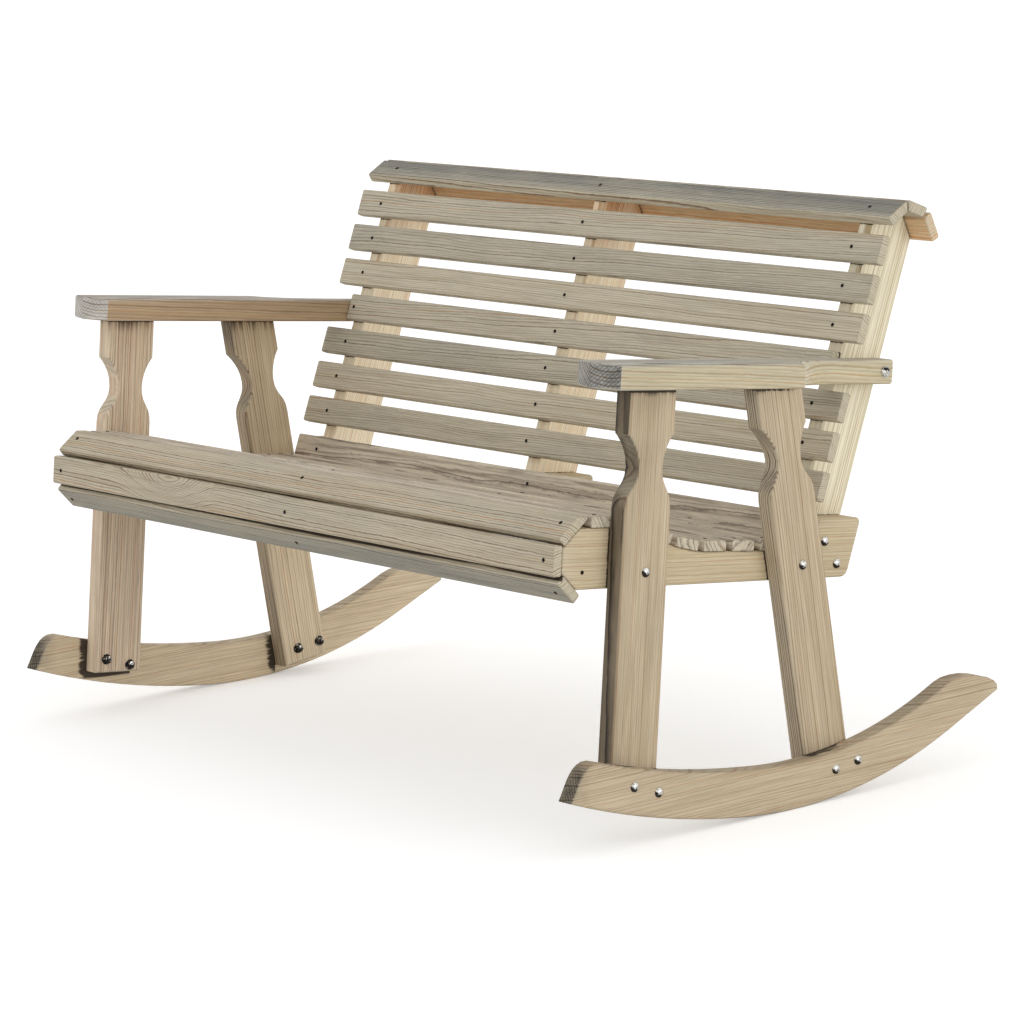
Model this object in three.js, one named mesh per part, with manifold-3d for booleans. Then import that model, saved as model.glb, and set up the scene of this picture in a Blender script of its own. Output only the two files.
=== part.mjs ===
import * as THREE from "three";
import { mergeVertices } from "three/addons/utils/BufferGeometryUtils.js";
import Module from "manifold-3d";

// Lengths are in millimetres. X runs along the seat, Y to the rear, Z up.
// Outlines are drawn with the arms level; the whole bench is then turned to the pitch it rests at.

// Timber sections
const slat_length = 1219.2;
const slat_width = 43;
const slat_thickness = 16;
const leg_width = 85;
const leg_thickness = 30;
const rocker_thickness = 30;
const rail_thickness = 42;
const upright_width = 80;
const upright_thickness = 30;
const arm_width = 91;
const arm_thickness = 35;
const board_ease = 2.5;
const slat_ease = 3;
const slat_ease_steps = 2;

// Clearances
const seat_gap = 0.2;
const hole_clearance = 0.5;

// Levels above the lowest point of the rocker curve
const arm_level = 599.5;
const rail_bottom = 323.5;
const rail_front_level = 407.5;
const rail_dish_level = 368.5;
const rail_low_level = 365.5;
const rail_rear_level = 408.5;
const front_leg_bottom = 36;
const rear_leg_bottom = 27;
const waist_level = 491;

// Front leg, and the waist that both legs share
const front_leg_front = -252.5;
const waist_length = 112;
const waist_front_depth = 22;
const waist_rear_depth = 18;
const waist_steps = 7;
const waist_pull_share = 0.5;
const waist_corner_drop = 9;

// Rear leg
const rear_leg_lean_deg = 14;
const rear_leg_front_at_waist = 7;
const rear_leg_waist_drop = 6;
const rear_leg_corner_drop = 5;

// Rocker
const rocker_bottom_turn = -16;
const rocker_front_radius = 1350;
const rocker_rear_radius = 800;
const rocker_top_front_turn = -20;
const rocker_top_rear_turn = 0;
const rocker_top_level = 67;
const rocker_top_front_radius = 1450;
const rocker_top_rear_radius = 690;
const rocker_front_end = -346;
const rocker_length = 814;
const rocker_tail_length = 76;
const rocker_front_nose_length = 46;
const rocker_front_nose_drop = 22;
const rocker_front_nose_reach = 30;
const rocker_rear_nose_length = 110;
const rocker_rear_nose_climb = 40;
const rocker_rear_nose_height = 22;
const rocker_rear_nose_overhang = 8;
const facet_deg = 1.5;
const nose_steps = 8;

// Back uprights and the slats on them
const upright_lean_deg = 15.2;
const upright_front_at_datum = 152.6;
const upright_datum = 439.5;
const back_slat_pitch = 58.3;
const back_slat_count = 7;
const lowest_back_slat_level = 431;
const foot_slat_level = 368;
const slats_above_arms_count = 3;
const short_slat_clearance = 1;

// Roll of three slats over the top of the uprights
const roll_start_y = 245.5;
const roll_start_z = 839;
const roll_widths = [44, 43.5, 43];
const roll_gaps = [2.5, 6];
const roll_slopes_deg = [36, -15.5, -61];

// Seat rail
const rail_rear_radius = 14;
const rail_top_radius = 7;
const dish_front = -243;
const dish_rear = -75;
const low_front = 60;

// Seat slats and the three slats round the front of the seat
const first_slat_front = -284.5;
const slat_gap = 10.5;
const full_seat_slat_count = 7;
const last_slat_gap = 2;
const nose_front = -333;
const nose_lower_start = -306;
const nose_lower_level = 347.5;
const nose_upper_level = 380.5;
const nose_upper_end = -304;
const nose_slat_slides = [4, -5, 4];

// Arm
const arm_front = -304;
const arm_point_back = 17;
const arm_cut_front = 54;
const arm_cut_rear = 151;
const arm_tail_end = 281;
const arm_tail_width = 37.5;
const arm_tail_radius = 8;
const arm_cut_steps = 10;
const corner_steps = 3;

// Carriage bolts: distance of each hole from the datum planes
const bolt_shank_radius = 3.2;
const bolt_head_radius = 7.2;
const bolt_head_height = 4;
const bolt_washer_radius = 8.5;
const bolt_washer_thickness = 1.6;
const bolt_nut_radius = 6.4;
const bolt_nut_height = 5.6;
const bolt_tail = 4;
const bolt_sides = 16;
const head_steps = 3;
const rocker_front_bolt_y = [-234, -189];
const rocker_front_bolt_z = [57.5, 47];
const rocker_rear_bolt_y = [146, 188.5];
const rocker_rear_bolt_z = [57.5, 68];
const rail_bolt_level = 348.5;
const front_rail_bolt_y = -208;
const rear_rail_bolt_y = 87;
const upright_bolt_y = [156, 182];
const upright_bolt_z = [376.5, 343.5];
const arm_bolt_y = 261;

// Pitch of the bench when its weight stands over the rocker contact
const rest_pitch_deg = 6.1;

const wasm = await Module();
wasm.setup();

const rail_outer = slat_length / 2;
const rail_inner = rail_outer - rail_thickness;
const leg_outer = rail_outer + leg_thickness;
const rocker_outer = leg_outer + rocker_thickness;
const upright_inner = rail_inner - upright_thickness;
const rocker_rear_end = rocker_front_end + rocker_length;
const rocker_tail_start = rocker_rear_end - rocker_tail_length;
const rocker_rear_nose_start = rocker_rear_end - rocker_rear_nose_length;
const rocker_front_nose_start = rocker_front_end + rocker_front_nose_length;
const rest_pitch = THREE.MathUtils.degToRad(rest_pitch_deg);
const upright_lean = THREE.MathUtils.degToRad(upright_lean_deg);
const rear_leg_lean = THREE.MathUtils.degToRad(rear_leg_lean_deg);
const facet = THREE.MathUtils.degToRad(facet_deg);

const timber_colours = {
  tan: 0xbfae90,
  pale: 0xd2c9a6,
  grey: 0xa59e88,
};

// A two-number point in the plane of an outline.
function at(first, second) {
  return new THREE.Vector2(first, second);
}

// Points on an arc about a centre; angles run from straight down towards the rear.
function arc_points(centre, radius, from, to, steps) {
  const points = [];
  for (let i = 0; i <= steps; i += 1) {
    const angle = from + ((to - from) * i) / steps;
    points.push(at(centre.x + radius * Math.sin(angle), centre.y - radius * Math.cos(angle)));
  }
  return points;
}

// Points along a cubic curve, both ends included.
function curve_points(start, first_pull, second_pull, end, steps) {
  return new THREE.CubicBezierCurve(start, first_pull, second_pull, end).getPoints(steps);
}

// A corner rounded by an arc that touches both of its edges.
function rounded_corner(before, corner, after, radius, steps) {
  const inward = before.clone().sub(corner).normalize();
  const outward = after.clone().sub(corner).normalize();
  const half = Math.acos(THREE.MathUtils.clamp(inward.dot(outward), -1, 1)) / 2;
  const reach = radius / Math.tan(half);
  const start = corner.clone().addScaledVector(inward, reach);
  const end = corner.clone().addScaledVector(outward, reach);
  const middle = inward.clone().add(outward).normalize();
  const centre = corner.clone().addScaledVector(middle, radius / Math.sin(half));
  const first = start.clone().sub(centre).angle();
  let turn = end.clone().sub(centre).angle() - first;
  if (turn > Math.PI) turn -= 2 * Math.PI;
  if (turn < -Math.PI) turn += 2 * Math.PI;
  const points = [];
  for (let i = 0; i <= steps; i += 1) {
    const angle = first + (turn * i) / steps;
    points.push(at(centre.x + radius * Math.cos(angle), centre.y + radius * Math.sin(angle)));
  }
  return points;
}

// A closed outline swept through a thickness, with its edges eased.
function eased_prism(outline, thickness, ease) {
  const ordered = THREE.ShapeUtils.isClockWise(outline) ? outline.slice().reverse() : outline;
  const geometry = new THREE.ExtrudeGeometry(new THREE.Shape(ordered), {
    depth: thickness - 2 * ease,
    bevelEnabled: true,
    bevelThickness: ease,
    bevelSize: ease,
    bevelOffset: -ease,
    bevelSegments: 1,
    curveSegments: 1,
  });
  return geometry.translate(0, 0, ease);
}

// An outline in the Y-Z plane swept along X from a given start.
function board_along_x(outline, start, thickness, ease) {
  const turn = new THREE.Matrix4().makeBasis(
    new THREE.Vector3(0, 1, 0),
    new THREE.Vector3(0, 0, 1),
    new THREE.Vector3(1, 0, 0),
  );
  return eased_prism(outline, thickness, ease).applyMatrix4(turn).translate(start, 0, 0);
}

// A geometry as a closed solid that can be cut or joined.
function solid_of(geometry) {
  const plain = geometry.index ? geometry.toNonIndexed() : geometry.clone();
  plain.deleteAttribute("normal");
  plain.deleteAttribute("uv");
  const merged = mergeVertices(plain, 1e-4);
  return new wasm.Manifold(
    new wasm.Mesh({
      numProp: 3,
      vertProperties: merged.attributes.position.array,
      triVerts: new Uint32Array(merged.index.array),
    }),
  );
}

// A solid as a drawable geometry.
function geometry_of(solid) {
  const mesh = solid.getMesh();
  const geometry = new THREE.BufferGeometry();
  const positions = new Float32Array(mesh.vertProperties);
  geometry.setAttribute("position", new THREE.BufferAttribute(positions, 3));
  geometry.setIndex(new THREE.BufferAttribute(new Uint32Array(mesh.triVerts), 1));
  geometry.computeVertexNormals();
  return geometry;
}

// A round rod along X between two places, centred on a hole.
function rod_along_x(hole, from, to, radius) {
  const rod = new THREE.CylinderGeometry(radius, radius, to - from, bolt_sides);
  return rod.rotateZ(Math.PI / 2).translate((from + to) / 2, hole.x, hole.y);
}

// A board with a bolt hole bored through it at each given place.
function bored(geometry, holes, from, to) {
  let solid = solid_of(geometry);
  for (const hole of holes) {
    const radius = bolt_shank_radius + hole_clearance;
    solid = solid.subtract(solid_of(rod_along_x(hole, from, to, radius)));
  }
  return geometry_of(solid);
}

// One edge of a leg through its waist, upwards; it ends above in a sharp corner.
function waist_points(edge, depth, middle, corner_drop) {
  const from = middle - waist_length / 2;
  const to = middle + waist_length / 2 - corner_drop;
  const pull = (waist_length / 2) * waist_pull_share;
  const deep = edge + depth;
  const first = curve_points(
    at(edge, from),
    at(edge, from + pull),
    at(deep, middle - pull),
    at(deep, middle),
    waist_steps,
  );
  const corner = at(edge, to);
  const second = curve_points(
    at(deep, middle),
    at(deep, middle + pull),
    corner,
    corner,
    waist_steps,
  );
  return first.concat(second.slice(1));
}

// A leg outline standing upright with its front edge at zero.
function leg_outline(bottom, front_waist, rear_waist, front_corner_drop, top) {
  return [
    at(0, bottom),
    at(leg_width, bottom),
    ...waist_points(leg_width, -waist_rear_depth, rear_waist, waist_corner_drop),
    at(leg_width, top),
    at(0, top),
    ...waist_points(0, waist_front_depth, front_waist, front_corner_drop).reverse(),
  ];
}

function front_leg(side) {
  const top = arm_level - seat_gap;
  const standing = leg_outline(
    front_leg_bottom,
    waist_level,
    waist_level,
    waist_corner_drop,
    top,
  );
  const outline = standing.map((point) => at(point.x + front_leg_front, point.y));
  return leg_board(outline, side, front_leg_holes());
}

// The rear leg leans back, and its top is sawn level under the arm.
function rear_leg(side) {
  const pivot = at(rear_leg_front_at_waist, waist_level);
  const cosine = Math.cos(rear_leg_lean);
  const sine = Math.sin(rear_leg_lean);
  const top = arm_level - seat_gap;
  const lowest = (rear_leg_bottom - waist_level) / cosine;
  const rise = (top - waist_level) / cosine;
  const standing = leg_outline(lowest, 0, -rear_leg_waist_drop, rear_leg_corner_drop, rise);
  const outline = standing.map((point) => {
    const level_rise = point.y === rise ? rise + point.x * Math.tan(rear_leg_lean) * -1 : point.y;
    return at(
      pivot.x + point.x * cosine - level_rise * sine,
      pivot.y + point.x * sine + level_rise * cosine,
    );
  });
  return leg_board(outline, side, rear_leg_holes());
}

// A leg board on one side of the bench, bored for its bolts.
function leg_board(outline, side, holes) {
  const start = side > 0 ? rail_outer : -leg_outer;
  const board = board_along_x(outline, start, leg_thickness, board_ease);
  return bored(board, holes, start - leg_thickness, start + 2 * leg_thickness);
}

function front_leg_holes() {
  const holes = rocker_front_bolt_y.map((y, i) => at(y, rocker_front_bolt_z[i]));
  return [...holes, at(front_rail_bolt_y, rail_bolt_level)];
}

function rear_leg_holes() {
  const holes = rocker_rear_bolt_y.map((y, i) => at(y, rocker_rear_bolt_z[i]));
  return [...holes, at(rear_rail_bolt_y, rail_bolt_level)];
}

// Points of the rocker underside, front to rear, with one flat facet centred on the resting contact.
function rocker_bottom_points() {
  const rear_centre = at(rocker_bottom_turn, rocker_rear_radius);
  const front_centre = at(rocker_bottom_turn, rocker_front_radius);
  const rear_limit = Math.asin((rocker_tail_start - rocker_bottom_turn) / rocker_rear_radius);
  const front_limit = Math.asin((rocker_bottom_turn - rocker_front_end) / rocker_front_radius);
  const below = Math.floor(rest_pitch / facet - 0.5);
  const above = Math.floor((rear_limit - rest_pitch) / facet - 0.5);
  const first = rest_pitch - (below + 0.5) * facet;
  const last = rest_pitch + (above + 0.5) * facet;
  const front_steps = Math.ceil(front_limit / facet);
  const front = arc_points(front_centre, rocker_front_radius, -front_limit, 0, front_steps);
  const rear = arc_points(rear_centre, rocker_rear_radius, first, last, below + above + 1);
  const tail = rear[rear.length - 1];
  const tip_climb = (rocker_rear_end - tail.x) * Math.tan(last);
  const joined = first > facet / 2 ? front : front.slice(0, -1);
  return [...joined, ...rear, at(rocker_rear_end, tail.y + tip_climb)];
}

// Points of the rocker upper edge, rear to front, with both rounded ends.
function rocker_top_points(front_tip, rear_tip) {
  const front_centre = at(rocker_top_front_turn, rocker_top_level + rocker_top_front_radius);
  const rear_centre = at(rocker_top_rear_turn, rocker_top_level + rocker_top_rear_radius);
  const rear_angle = Math.asin(
    (rocker_rear_nose_start - rocker_top_rear_turn) / rocker_top_rear_radius,
  );
  const front_angle = Math.asin(
    (rocker_front_nose_start - rocker_top_front_turn) / rocker_top_front_radius,
  );
  const rear_steps = Math.ceil(rear_angle / facet);
  const front_steps = Math.ceil(-front_angle / facet);
  const rear = arc_points(rear_centre, rocker_top_rear_radius, rear_angle, 0, rear_steps);
  const front = arc_points(front_centre, rocker_top_front_radius, 0, front_angle, front_steps);
  const along = at(Math.cos(rear_angle), Math.sin(rear_angle));
  const rear_nose = curve_points(
    rear_tip,
    at(rear_tip.x + rocker_rear_nose_overhang, rear_tip.y + rocker_rear_nose_height),
    rear[0].clone().addScaledVector(along, rocker_rear_nose_climb),
    rear[0],
    nose_steps,
  );
  const start = front[front.length - 1];
  const front_nose = curve_points(
    start,
    at(start.x - rocker_front_nose_reach, start.y + seat_gap),
    at(front_tip.x + rocker_front_nose_drop / 2, front_tip.y + rocker_front_nose_drop),
    front_tip,
    nose_steps,
  );
  return [...rear_nose.slice(1, -1), ...rear, ...front.slice(0, -1), ...front_nose.slice(0, -1)];
}

function rocker(side) {
  const bottom = rocker_bottom_points();
  const top = rocker_top_points(bottom[0], bottom[bottom.length - 1]);
  const start = side > 0 ? leg_outer : -rocker_outer;
  const board = board_along_x([...bottom, ...top], start, rocker_thickness, board_ease);
  const holes = [...front_leg_holes().slice(0, 2), ...rear_leg_holes().slice(0, 2)];
  return bored(board, holes, start - rocker_thickness, start + 2 * rocker_thickness);
}

// A place on the uprights: distance up the front edge and distance behind it.
function upright_place(up, behind) {
  const sine = Math.sin(upright_lean);
  const cosine = Math.cos(upright_lean);
  return at(
    upright_front_at_datum + up * sine + behind * cosine,
    upright_datum + up * cosine - behind * sine,
  );
}

// Distance up the upright at which a line parallel to its edge crosses a level.
function upright_reach(level, behind) {
  return (level - upright_datum + behind * Math.sin(upright_lean)) / Math.cos(upright_lean);
}

// The roll slats laid end to end: each outer edge, its slope, and the way in to the upright.
function roll_chain() {
  const chain = [];
  let from = at(roll_start_y, roll_start_z);
  roll_slopes_deg.forEach((slope_deg, i) => {
    const slope = THREE.MathUtils.degToRad(slope_deg);
    const along = at(Math.cos(slope), Math.sin(slope));
    const inward = at(along.y, -along.x);
    const to = from.clone().addScaledVector(along, roll_widths[i]);
    chain.push({ from, to, slope, along, inward });
    if (i < roll_gaps.length) {
      const middle = (slope + THREE.MathUtils.degToRad(roll_slopes_deg[i + 1])) / 2;
      from = to.clone().add(at(Math.cos(middle), Math.sin(middle)).multiplyScalar(roll_gaps[i]));
    }
  });
  return chain;
}

// How far the inner face of a roll slat is sawn back where it meets a neighbour.
function mitre(slat, neighbour) {
  if (!neighbour) return 0;
  return Math.tan(Math.abs(slat.slope - neighbour.slope) / 2) * slat_thickness;
}

// Section of one roll slat, its long edges sawn to meet its neighbours.
function roll_slat_outline(chain, index) {
  const slat = chain[index];
  const inner_from = slat.from.clone().addScaledVector(slat.inward, slat_thickness);
  const inner_to = slat.to.clone().addScaledVector(slat.inward, slat_thickness);
  inner_from.addScaledVector(slat.along, mitre(slat, chain[index - 1]));
  inner_to.addScaledVector(slat.along, -mitre(slat, chain[index + 1]));
  return [slat.from, slat.to, inner_to, inner_from];
}

// A slat of full length whose section has every corner eased by a short flat.
function slat_from_outline(corners, length) {
  const points = [];
  corners.forEach((corner, i) => {
    const before = corners[(i + corners.length - 1) % corners.length];
    const after = corners[(i + 1) % corners.length];
    points.push(...rounded_corner(before, corner, after, slat_ease, slat_ease_steps));
  });
  return board_along_x(points, -length / 2, length, slat_ease / 2);
}

// Where two lines, each given by a point and a direction, cross.
function crossing(point, along, other_point, other_along) {
  const gap = other_point.clone().sub(point);
  const reach = gap.cross(other_along) / along.cross(other_along);
  return point.clone().addScaledVector(along, reach);
}

// A back upright: straight edges, and a top cut to carry the three roll slats.
function upright_outline() {
  const faces = roll_chain().map((slat) => ({
    point: slat.from.clone().addScaledVector(slat.inward, slat_thickness + seat_gap),
    along: slat.along,
  }));
  const axis = at(Math.sin(upright_lean), Math.cos(upright_lean));
  const edges = [{ point: upright_place(0, 0), along: axis }, ...faces];
  edges.push({ point: upright_place(0, upright_width), along: axis });
  const top = [];
  for (let i = 0; i + 1 < edges.length; i += 1) {
    const next = edges[i + 1];
    top.push(crossing(edges[i].point, edges[i].along, next.point, next.along));
  }
  return [
    upright_place(upright_reach(rail_bottom, 0), 0),
    upright_place(upright_reach(rail_bottom, upright_width), upright_width),
    ...top.reverse(),
  ];
}

function upright_holes(with_arm) {
  const holes = upright_bolt_y.map((y, i) => at(y, upright_bolt_z[i]));
  if (with_arm) holes.push(arm_hole());
  return holes;
}

function arm_hole() {
  return at(arm_bolt_y, arm_level + arm_thickness / 2);
}

function upright(start, with_arm) {
  const board = board_along_x(upright_outline(), start, upright_thickness, board_ease);
  const reach = upright_thickness;
  return bored(board, upright_holes(with_arm), start - reach, start + 2 * reach);
}

// Level of the rail top at a place along it: level, then a dish, then a slow fall to the rear.
function rail_top(y) {
  if (y <= dish_front) return rail_front_level;
  if (y < dish_rear) {
    const share = (y - dish_front) / (dish_rear - dish_front);
    const drop = rail_front_level - rail_dish_level;
    return rail_dish_level + (drop * (1 + Math.cos(Math.PI * share))) / 2;
  }
  const share = Math.min((y - dish_rear) / (low_front - dish_rear), 1);
  return rail_dish_level + (rail_low_level - rail_dish_level) * share;
}

// The place on the rail top that lies a given straight distance behind another.
function step_along_rail(y, distance) {
  let low = y;
  let high = y + distance;
  for (let i = 0; i < 40; i += 1) {
    const middle = (low + high) / 2;
    const reach = Math.hypot(middle - y, rail_top(middle) - rail_top(y));
    if (reach < distance) low = middle;
    else high = middle;
  }
  return high;
}

// Front and rear places of every seat slat on the rail top.
function seat_slat_places() {
  const places = [];
  let front = first_slat_front;
  for (let i = 0; i < full_seat_slat_count; i += 1) {
    const rear = step_along_rail(front, slat_width);
    places.push([front, rear]);
    front = step_along_rail(rear, slat_gap);
  }
  const foot_front = upright_place(upright_reach(rail_low_level, -slat_thickness), -slat_thickness);
  places.push([front, foot_front.x - last_slat_gap]);
  return places;
}

// Section of one seat slat standing on the rail top between two places.
function seat_slat_outline(front, rear) {
  const from = at(front, rail_top(front));
  const to = at(rear, rail_top(rear));
  const along = to.clone().sub(from).normalize();
  const up = at(-along.y, along.x);
  return [
    from,
    to,
    to.clone().addScaledVector(up, slat_thickness),
    from.clone().addScaledVector(up, slat_thickness),
  ];
}

// Corners of the faceted front end of a seat rail, from its underside up to its top.
function nose_corners() {
  return [
    at(nose_lower_start, rail_bottom),
    at(nose_front, nose_lower_level),
    at(nose_front, nose_upper_level),
    at(nose_upper_end, rail_front_level - seat_gap),
  ];
}

// Section of a slat on one facet of the rail front, slid along it from its first corner.
function nose_slat_outline(first, second, turn, slide) {
  const along = second.clone().sub(first).normalize();
  const outward = at(-along.y * turn, along.x * turn);
  const start = first.clone().addScaledVector(along, slide).addScaledVector(outward, seat_gap);
  const end = start.clone().addScaledVector(along, slat_width);
  return [
    start,
    end,
    end.clone().addScaledVector(outward, slat_thickness),
    start.clone().addScaledVector(outward, slat_thickness),
  ];
}

// Sections of the three slats round the front of the seat; the upper one is ripped level on top.
function nose_slat_outlines() {
  const corners = nose_corners();
  const [lower_slide, middle_slide, upper_slide] = nose_slat_slides;
  const lower = nose_slat_outline(corners[1], corners[0], -1, lower_slide);
  const middle = nose_slat_outline(corners[1], corners[2], 1, middle_slide);
  const upper = nose_slat_outline(corners[2], corners[3], 1, upper_slide);
  const along = upper[1].clone().sub(upper[0]);
  upper[1] = crossing(upper[0], along, upper[2], at(1, 0));
  return { upper, middle, lower };
}

// Side outline of a seat rail: faceted front, dished top, step for the lowest back slat.
function rail_outline() {
  const level = at(1, 0);
  const bottom_line = at(0, rail_bottom);
  const axis = at(Math.sin(upright_lean), Math.cos(upright_lean));
  const rear = upright_place(0, upright_width);
  const shoulder = upright_place(0, 0);
  const rear_bottom = crossing(rear, axis, bottom_line, level);
  const rear_top = crossing(rear, axis, at(0, rail_rear_level), level);
  const [front_bottom, ...nose] = nose_corners();
  const shoulder_top = crossing(shoulder, axis, at(0, rail_rear_level), level);
  const shoulder_foot = crossing(shoulder, axis, at(0, rail_low_level - seat_gap), level);
  const dish = seat_slat_places()
    .flat()
    .map((y) => at(y, rail_top(y) - seat_gap));
  return [
    front_bottom,
    ...rounded_corner(front_bottom, rear_bottom, rear_top, rail_rear_radius, corner_steps),
    ...rounded_corner(rear_bottom, rear_top, shoulder_top, rail_top_radius, corner_steps),
    shoulder_top,
    shoulder_foot,
    ...dish.reverse(),
    ...nose.reverse(),
  ];
}

function seat_rail(start, with_leg_bolts) {
  const board = board_along_x(rail_outline(), start, rail_thickness, board_ease);
  const holes = upright_holes(false);
  if (with_leg_bolts) {
    holes.push(at(front_rail_bolt_y, rail_bolt_level));
    holes.push(at(rear_rail_bolt_y, rail_bolt_level));
  }
  return bored(board, holes, start - rail_thickness, start + 2 * rail_thickness);
}

// A slat flat on the uprights with its lower edge at a given level.
function back_slat(level, length) {
  const foot = upright_reach(level, -seat_gap);
  const head = foot + slat_width;
  const outline = [
    upright_place(foot, -seat_gap),
    upright_place(head, -seat_gap),
    upright_place(head, -seat_gap - slat_thickness),
    upright_place(foot, -seat_gap - slat_thickness),
  ];
  return slat_from_outline(outline, length);
}

// Plan of an arm: a shallow point in front, a hollow cut on the outside, and a narrow tail.
function arm_outline(inner) {
  const outer = inner + arm_width;
  const tail = inner + arm_tail_width;
  const end_inner = at(inner, arm_tail_end);
  const end_outer = at(tail, arm_tail_end);
  const cut_end = at(tail, arm_cut_rear);
  const cut = [];
  for (let i = 0; i <= arm_cut_steps; i += 1) {
    const angle = ((Math.PI / 2) * i) / arm_cut_steps;
    const across = (outer - tail) * Math.sin(angle);
    const back = (arm_cut_rear - arm_cut_front) * Math.cos(angle);
    cut.push(at(outer - across, arm_cut_rear - back));
  }
  const shoulder = arm_front + arm_point_back;
  return [
    at((inner + outer) / 2, arm_front),
    at(outer, shoulder),
    ...cut,
    ...rounded_corner(cut_end, end_outer, end_inner, arm_tail_radius, corner_steps),
    ...rounded_corner(end_outer, end_inner, at(inner, shoulder), arm_tail_radius, corner_steps),
    at(inner, shoulder),
  ];
}

function arm(side) {
  const inner = rail_inner + seat_gap;
  const plan = arm_outline(inner).map((point) => at(point.x * side, point.y));
  const board = eased_prism(plan, arm_thickness, board_ease).translate(0, 0, arm_level);
  const reach = 2 * arm_width;
  return bored(board, [arm_hole()], side * inner - reach, side * inner + reach);
}

// A carriage bolt with its washer and nut: the head seats at one place, the nut at the other.
function carriage_bolt(hole, head_face, nut_face, washer_at_head) {
  const way = Math.sign(nut_face - head_face);
  const grip = Math.abs(nut_face - head_face);
  const under_head = washer_at_head ? bolt_washer_thickness : 0;
  const profile = [at(0, -under_head - bolt_head_height)];
  for (let i = 1; i <= head_steps; i += 1) {
    const angle = ((Math.PI / 2) * i) / head_steps;
    const rise = -under_head - bolt_head_height * Math.cos(angle);
    profile.push(at(bolt_head_radius * Math.sin(angle), rise));
  }
  if (washer_at_head) {
    profile.push(at(bolt_washer_radius, -under_head), at(bolt_washer_radius, 0));
  }
  const washer_end = grip + bolt_washer_thickness;
  const end = washer_end + bolt_nut_height + bolt_tail;
  profile.push(at(bolt_shank_radius, 0));
  profile.push(at(bolt_shank_radius, grip));
  profile.push(at(bolt_washer_radius, grip));
  profile.push(at(bolt_washer_radius, washer_end));
  profile.push(at(bolt_shank_radius, washer_end));
  profile.push(at(bolt_shank_radius, end - bolt_shank_radius / 4));
  profile.push(at(bolt_shank_radius / 2, end));
  profile.push(at(0, end));
  const shank = new THREE.LatheGeometry(profile, bolt_sides);
  const nut = new THREE.CylinderGeometry(bolt_nut_radius, bolt_nut_radius, bolt_nut_height, 6);
  nut.translate(0, washer_end + bolt_nut_height / 2, 0);
  const whole = solid_of(shank).add(solid_of(nut));
  const geometry = geometry_of(whole).rotateZ(-Math.PI / 2);
  if (way < 0) geometry.rotateZ(Math.PI);
  return geometry.translate(head_face, hole.x, hole.y);
}

const bench = new THREE.Group();
bench.name = "rocking_bench";

// A named mesh of one finish, added to the bench.
function add(name, geometry, colour, roughness, metalness) {
  const material = new THREE.MeshStandardMaterial({ color: colour, roughness, metalness });
  const mesh = new THREE.Mesh(geometry, material);
  mesh.name = name;
  bench.add(mesh);
}

function add_timber(name, geometry, colour) {
  add(name, geometry, colour, 0.85, 0);
}

function add_bolt(name, hole, head_face, nut_face, washer_at_head) {
  const geometry = carriage_bolt(hole, head_face, nut_face, washer_at_head);
  add(name, geometry, 0xb9bcbe, 0.35, 0.9);
}

// The frame and the bolts of one side of the bench.
function add_side(side, word) {
  add_timber(`rocker_${word}`, rocker(side), timber_colours.tan);
  add_timber(`front_leg_${word}`, front_leg(side), timber_colours.tan);
  add_timber(`rear_leg_${word}`, rear_leg(side), timber_colours.tan);
  add_timber(`arm_${word}`, arm(side), timber_colours.grey);
  const rail_start = side > 0 ? rail_inner : -rail_outer;
  add_timber(`seat_rail_${word}`, seat_rail(rail_start, true), timber_colours.tan);
  const upright_start = side > 0 ? upright_inner : -rail_inner;
  add_timber(`back_upright_${word}`, upright(upright_start, true), timber_colours.pale);
  rocker_front_bolt_y.forEach((y, i) => {
    const hole = at(y, rocker_front_bolt_z[i]);
    add_bolt(`bolt_rocker_front_${i + 1}_${word}`, hole, side * rocker_outer, side * rail_outer);
  });
  rocker_rear_bolt_y.forEach((y, i) => {
    const hole = at(y, rocker_rear_bolt_z[i]);
    add_bolt(`bolt_rocker_rear_${i + 1}_${word}`, hole, side * rocker_outer, side * rail_outer);
  });
  const front_hole = at(front_rail_bolt_y, rail_bolt_level);
  const rear_hole = at(rear_rail_bolt_y, rail_bolt_level);
  add_bolt(`bolt_leg_front_${word}`, front_hole, side * leg_outer, side * rail_inner);
  add_bolt(`bolt_leg_rear_${word}`, rear_hole, side * leg_outer, side * rail_inner);
  upright_holes(false).forEach((hole, i) => {
    add_bolt(`bolt_upright_${i + 1}_${word}`, hole, side * rail_outer, side * upright_inner);
  });
  const tail_face = side * (rail_inner + seat_gap + arm_tail_width);
  add_bolt(`bolt_arm_${word}`, arm_hole(), tail_face, side * upright_inner, true);
}

// The middle rail with its upright bolted against it.
function add_centre() {
  const half = rail_thickness / 2;
  const start = -half - upright_thickness;
  add_timber("seat_rail_centre", seat_rail(-half, false), timber_colours.tan);
  add_timber("back_upright_centre", upright(start, false), timber_colours.pale);
  upright_holes(false).forEach((hole, i) => {
    add_bolt(`bolt_upright_${i + 1}_centre`, hole, half, start);
  });
}

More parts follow.
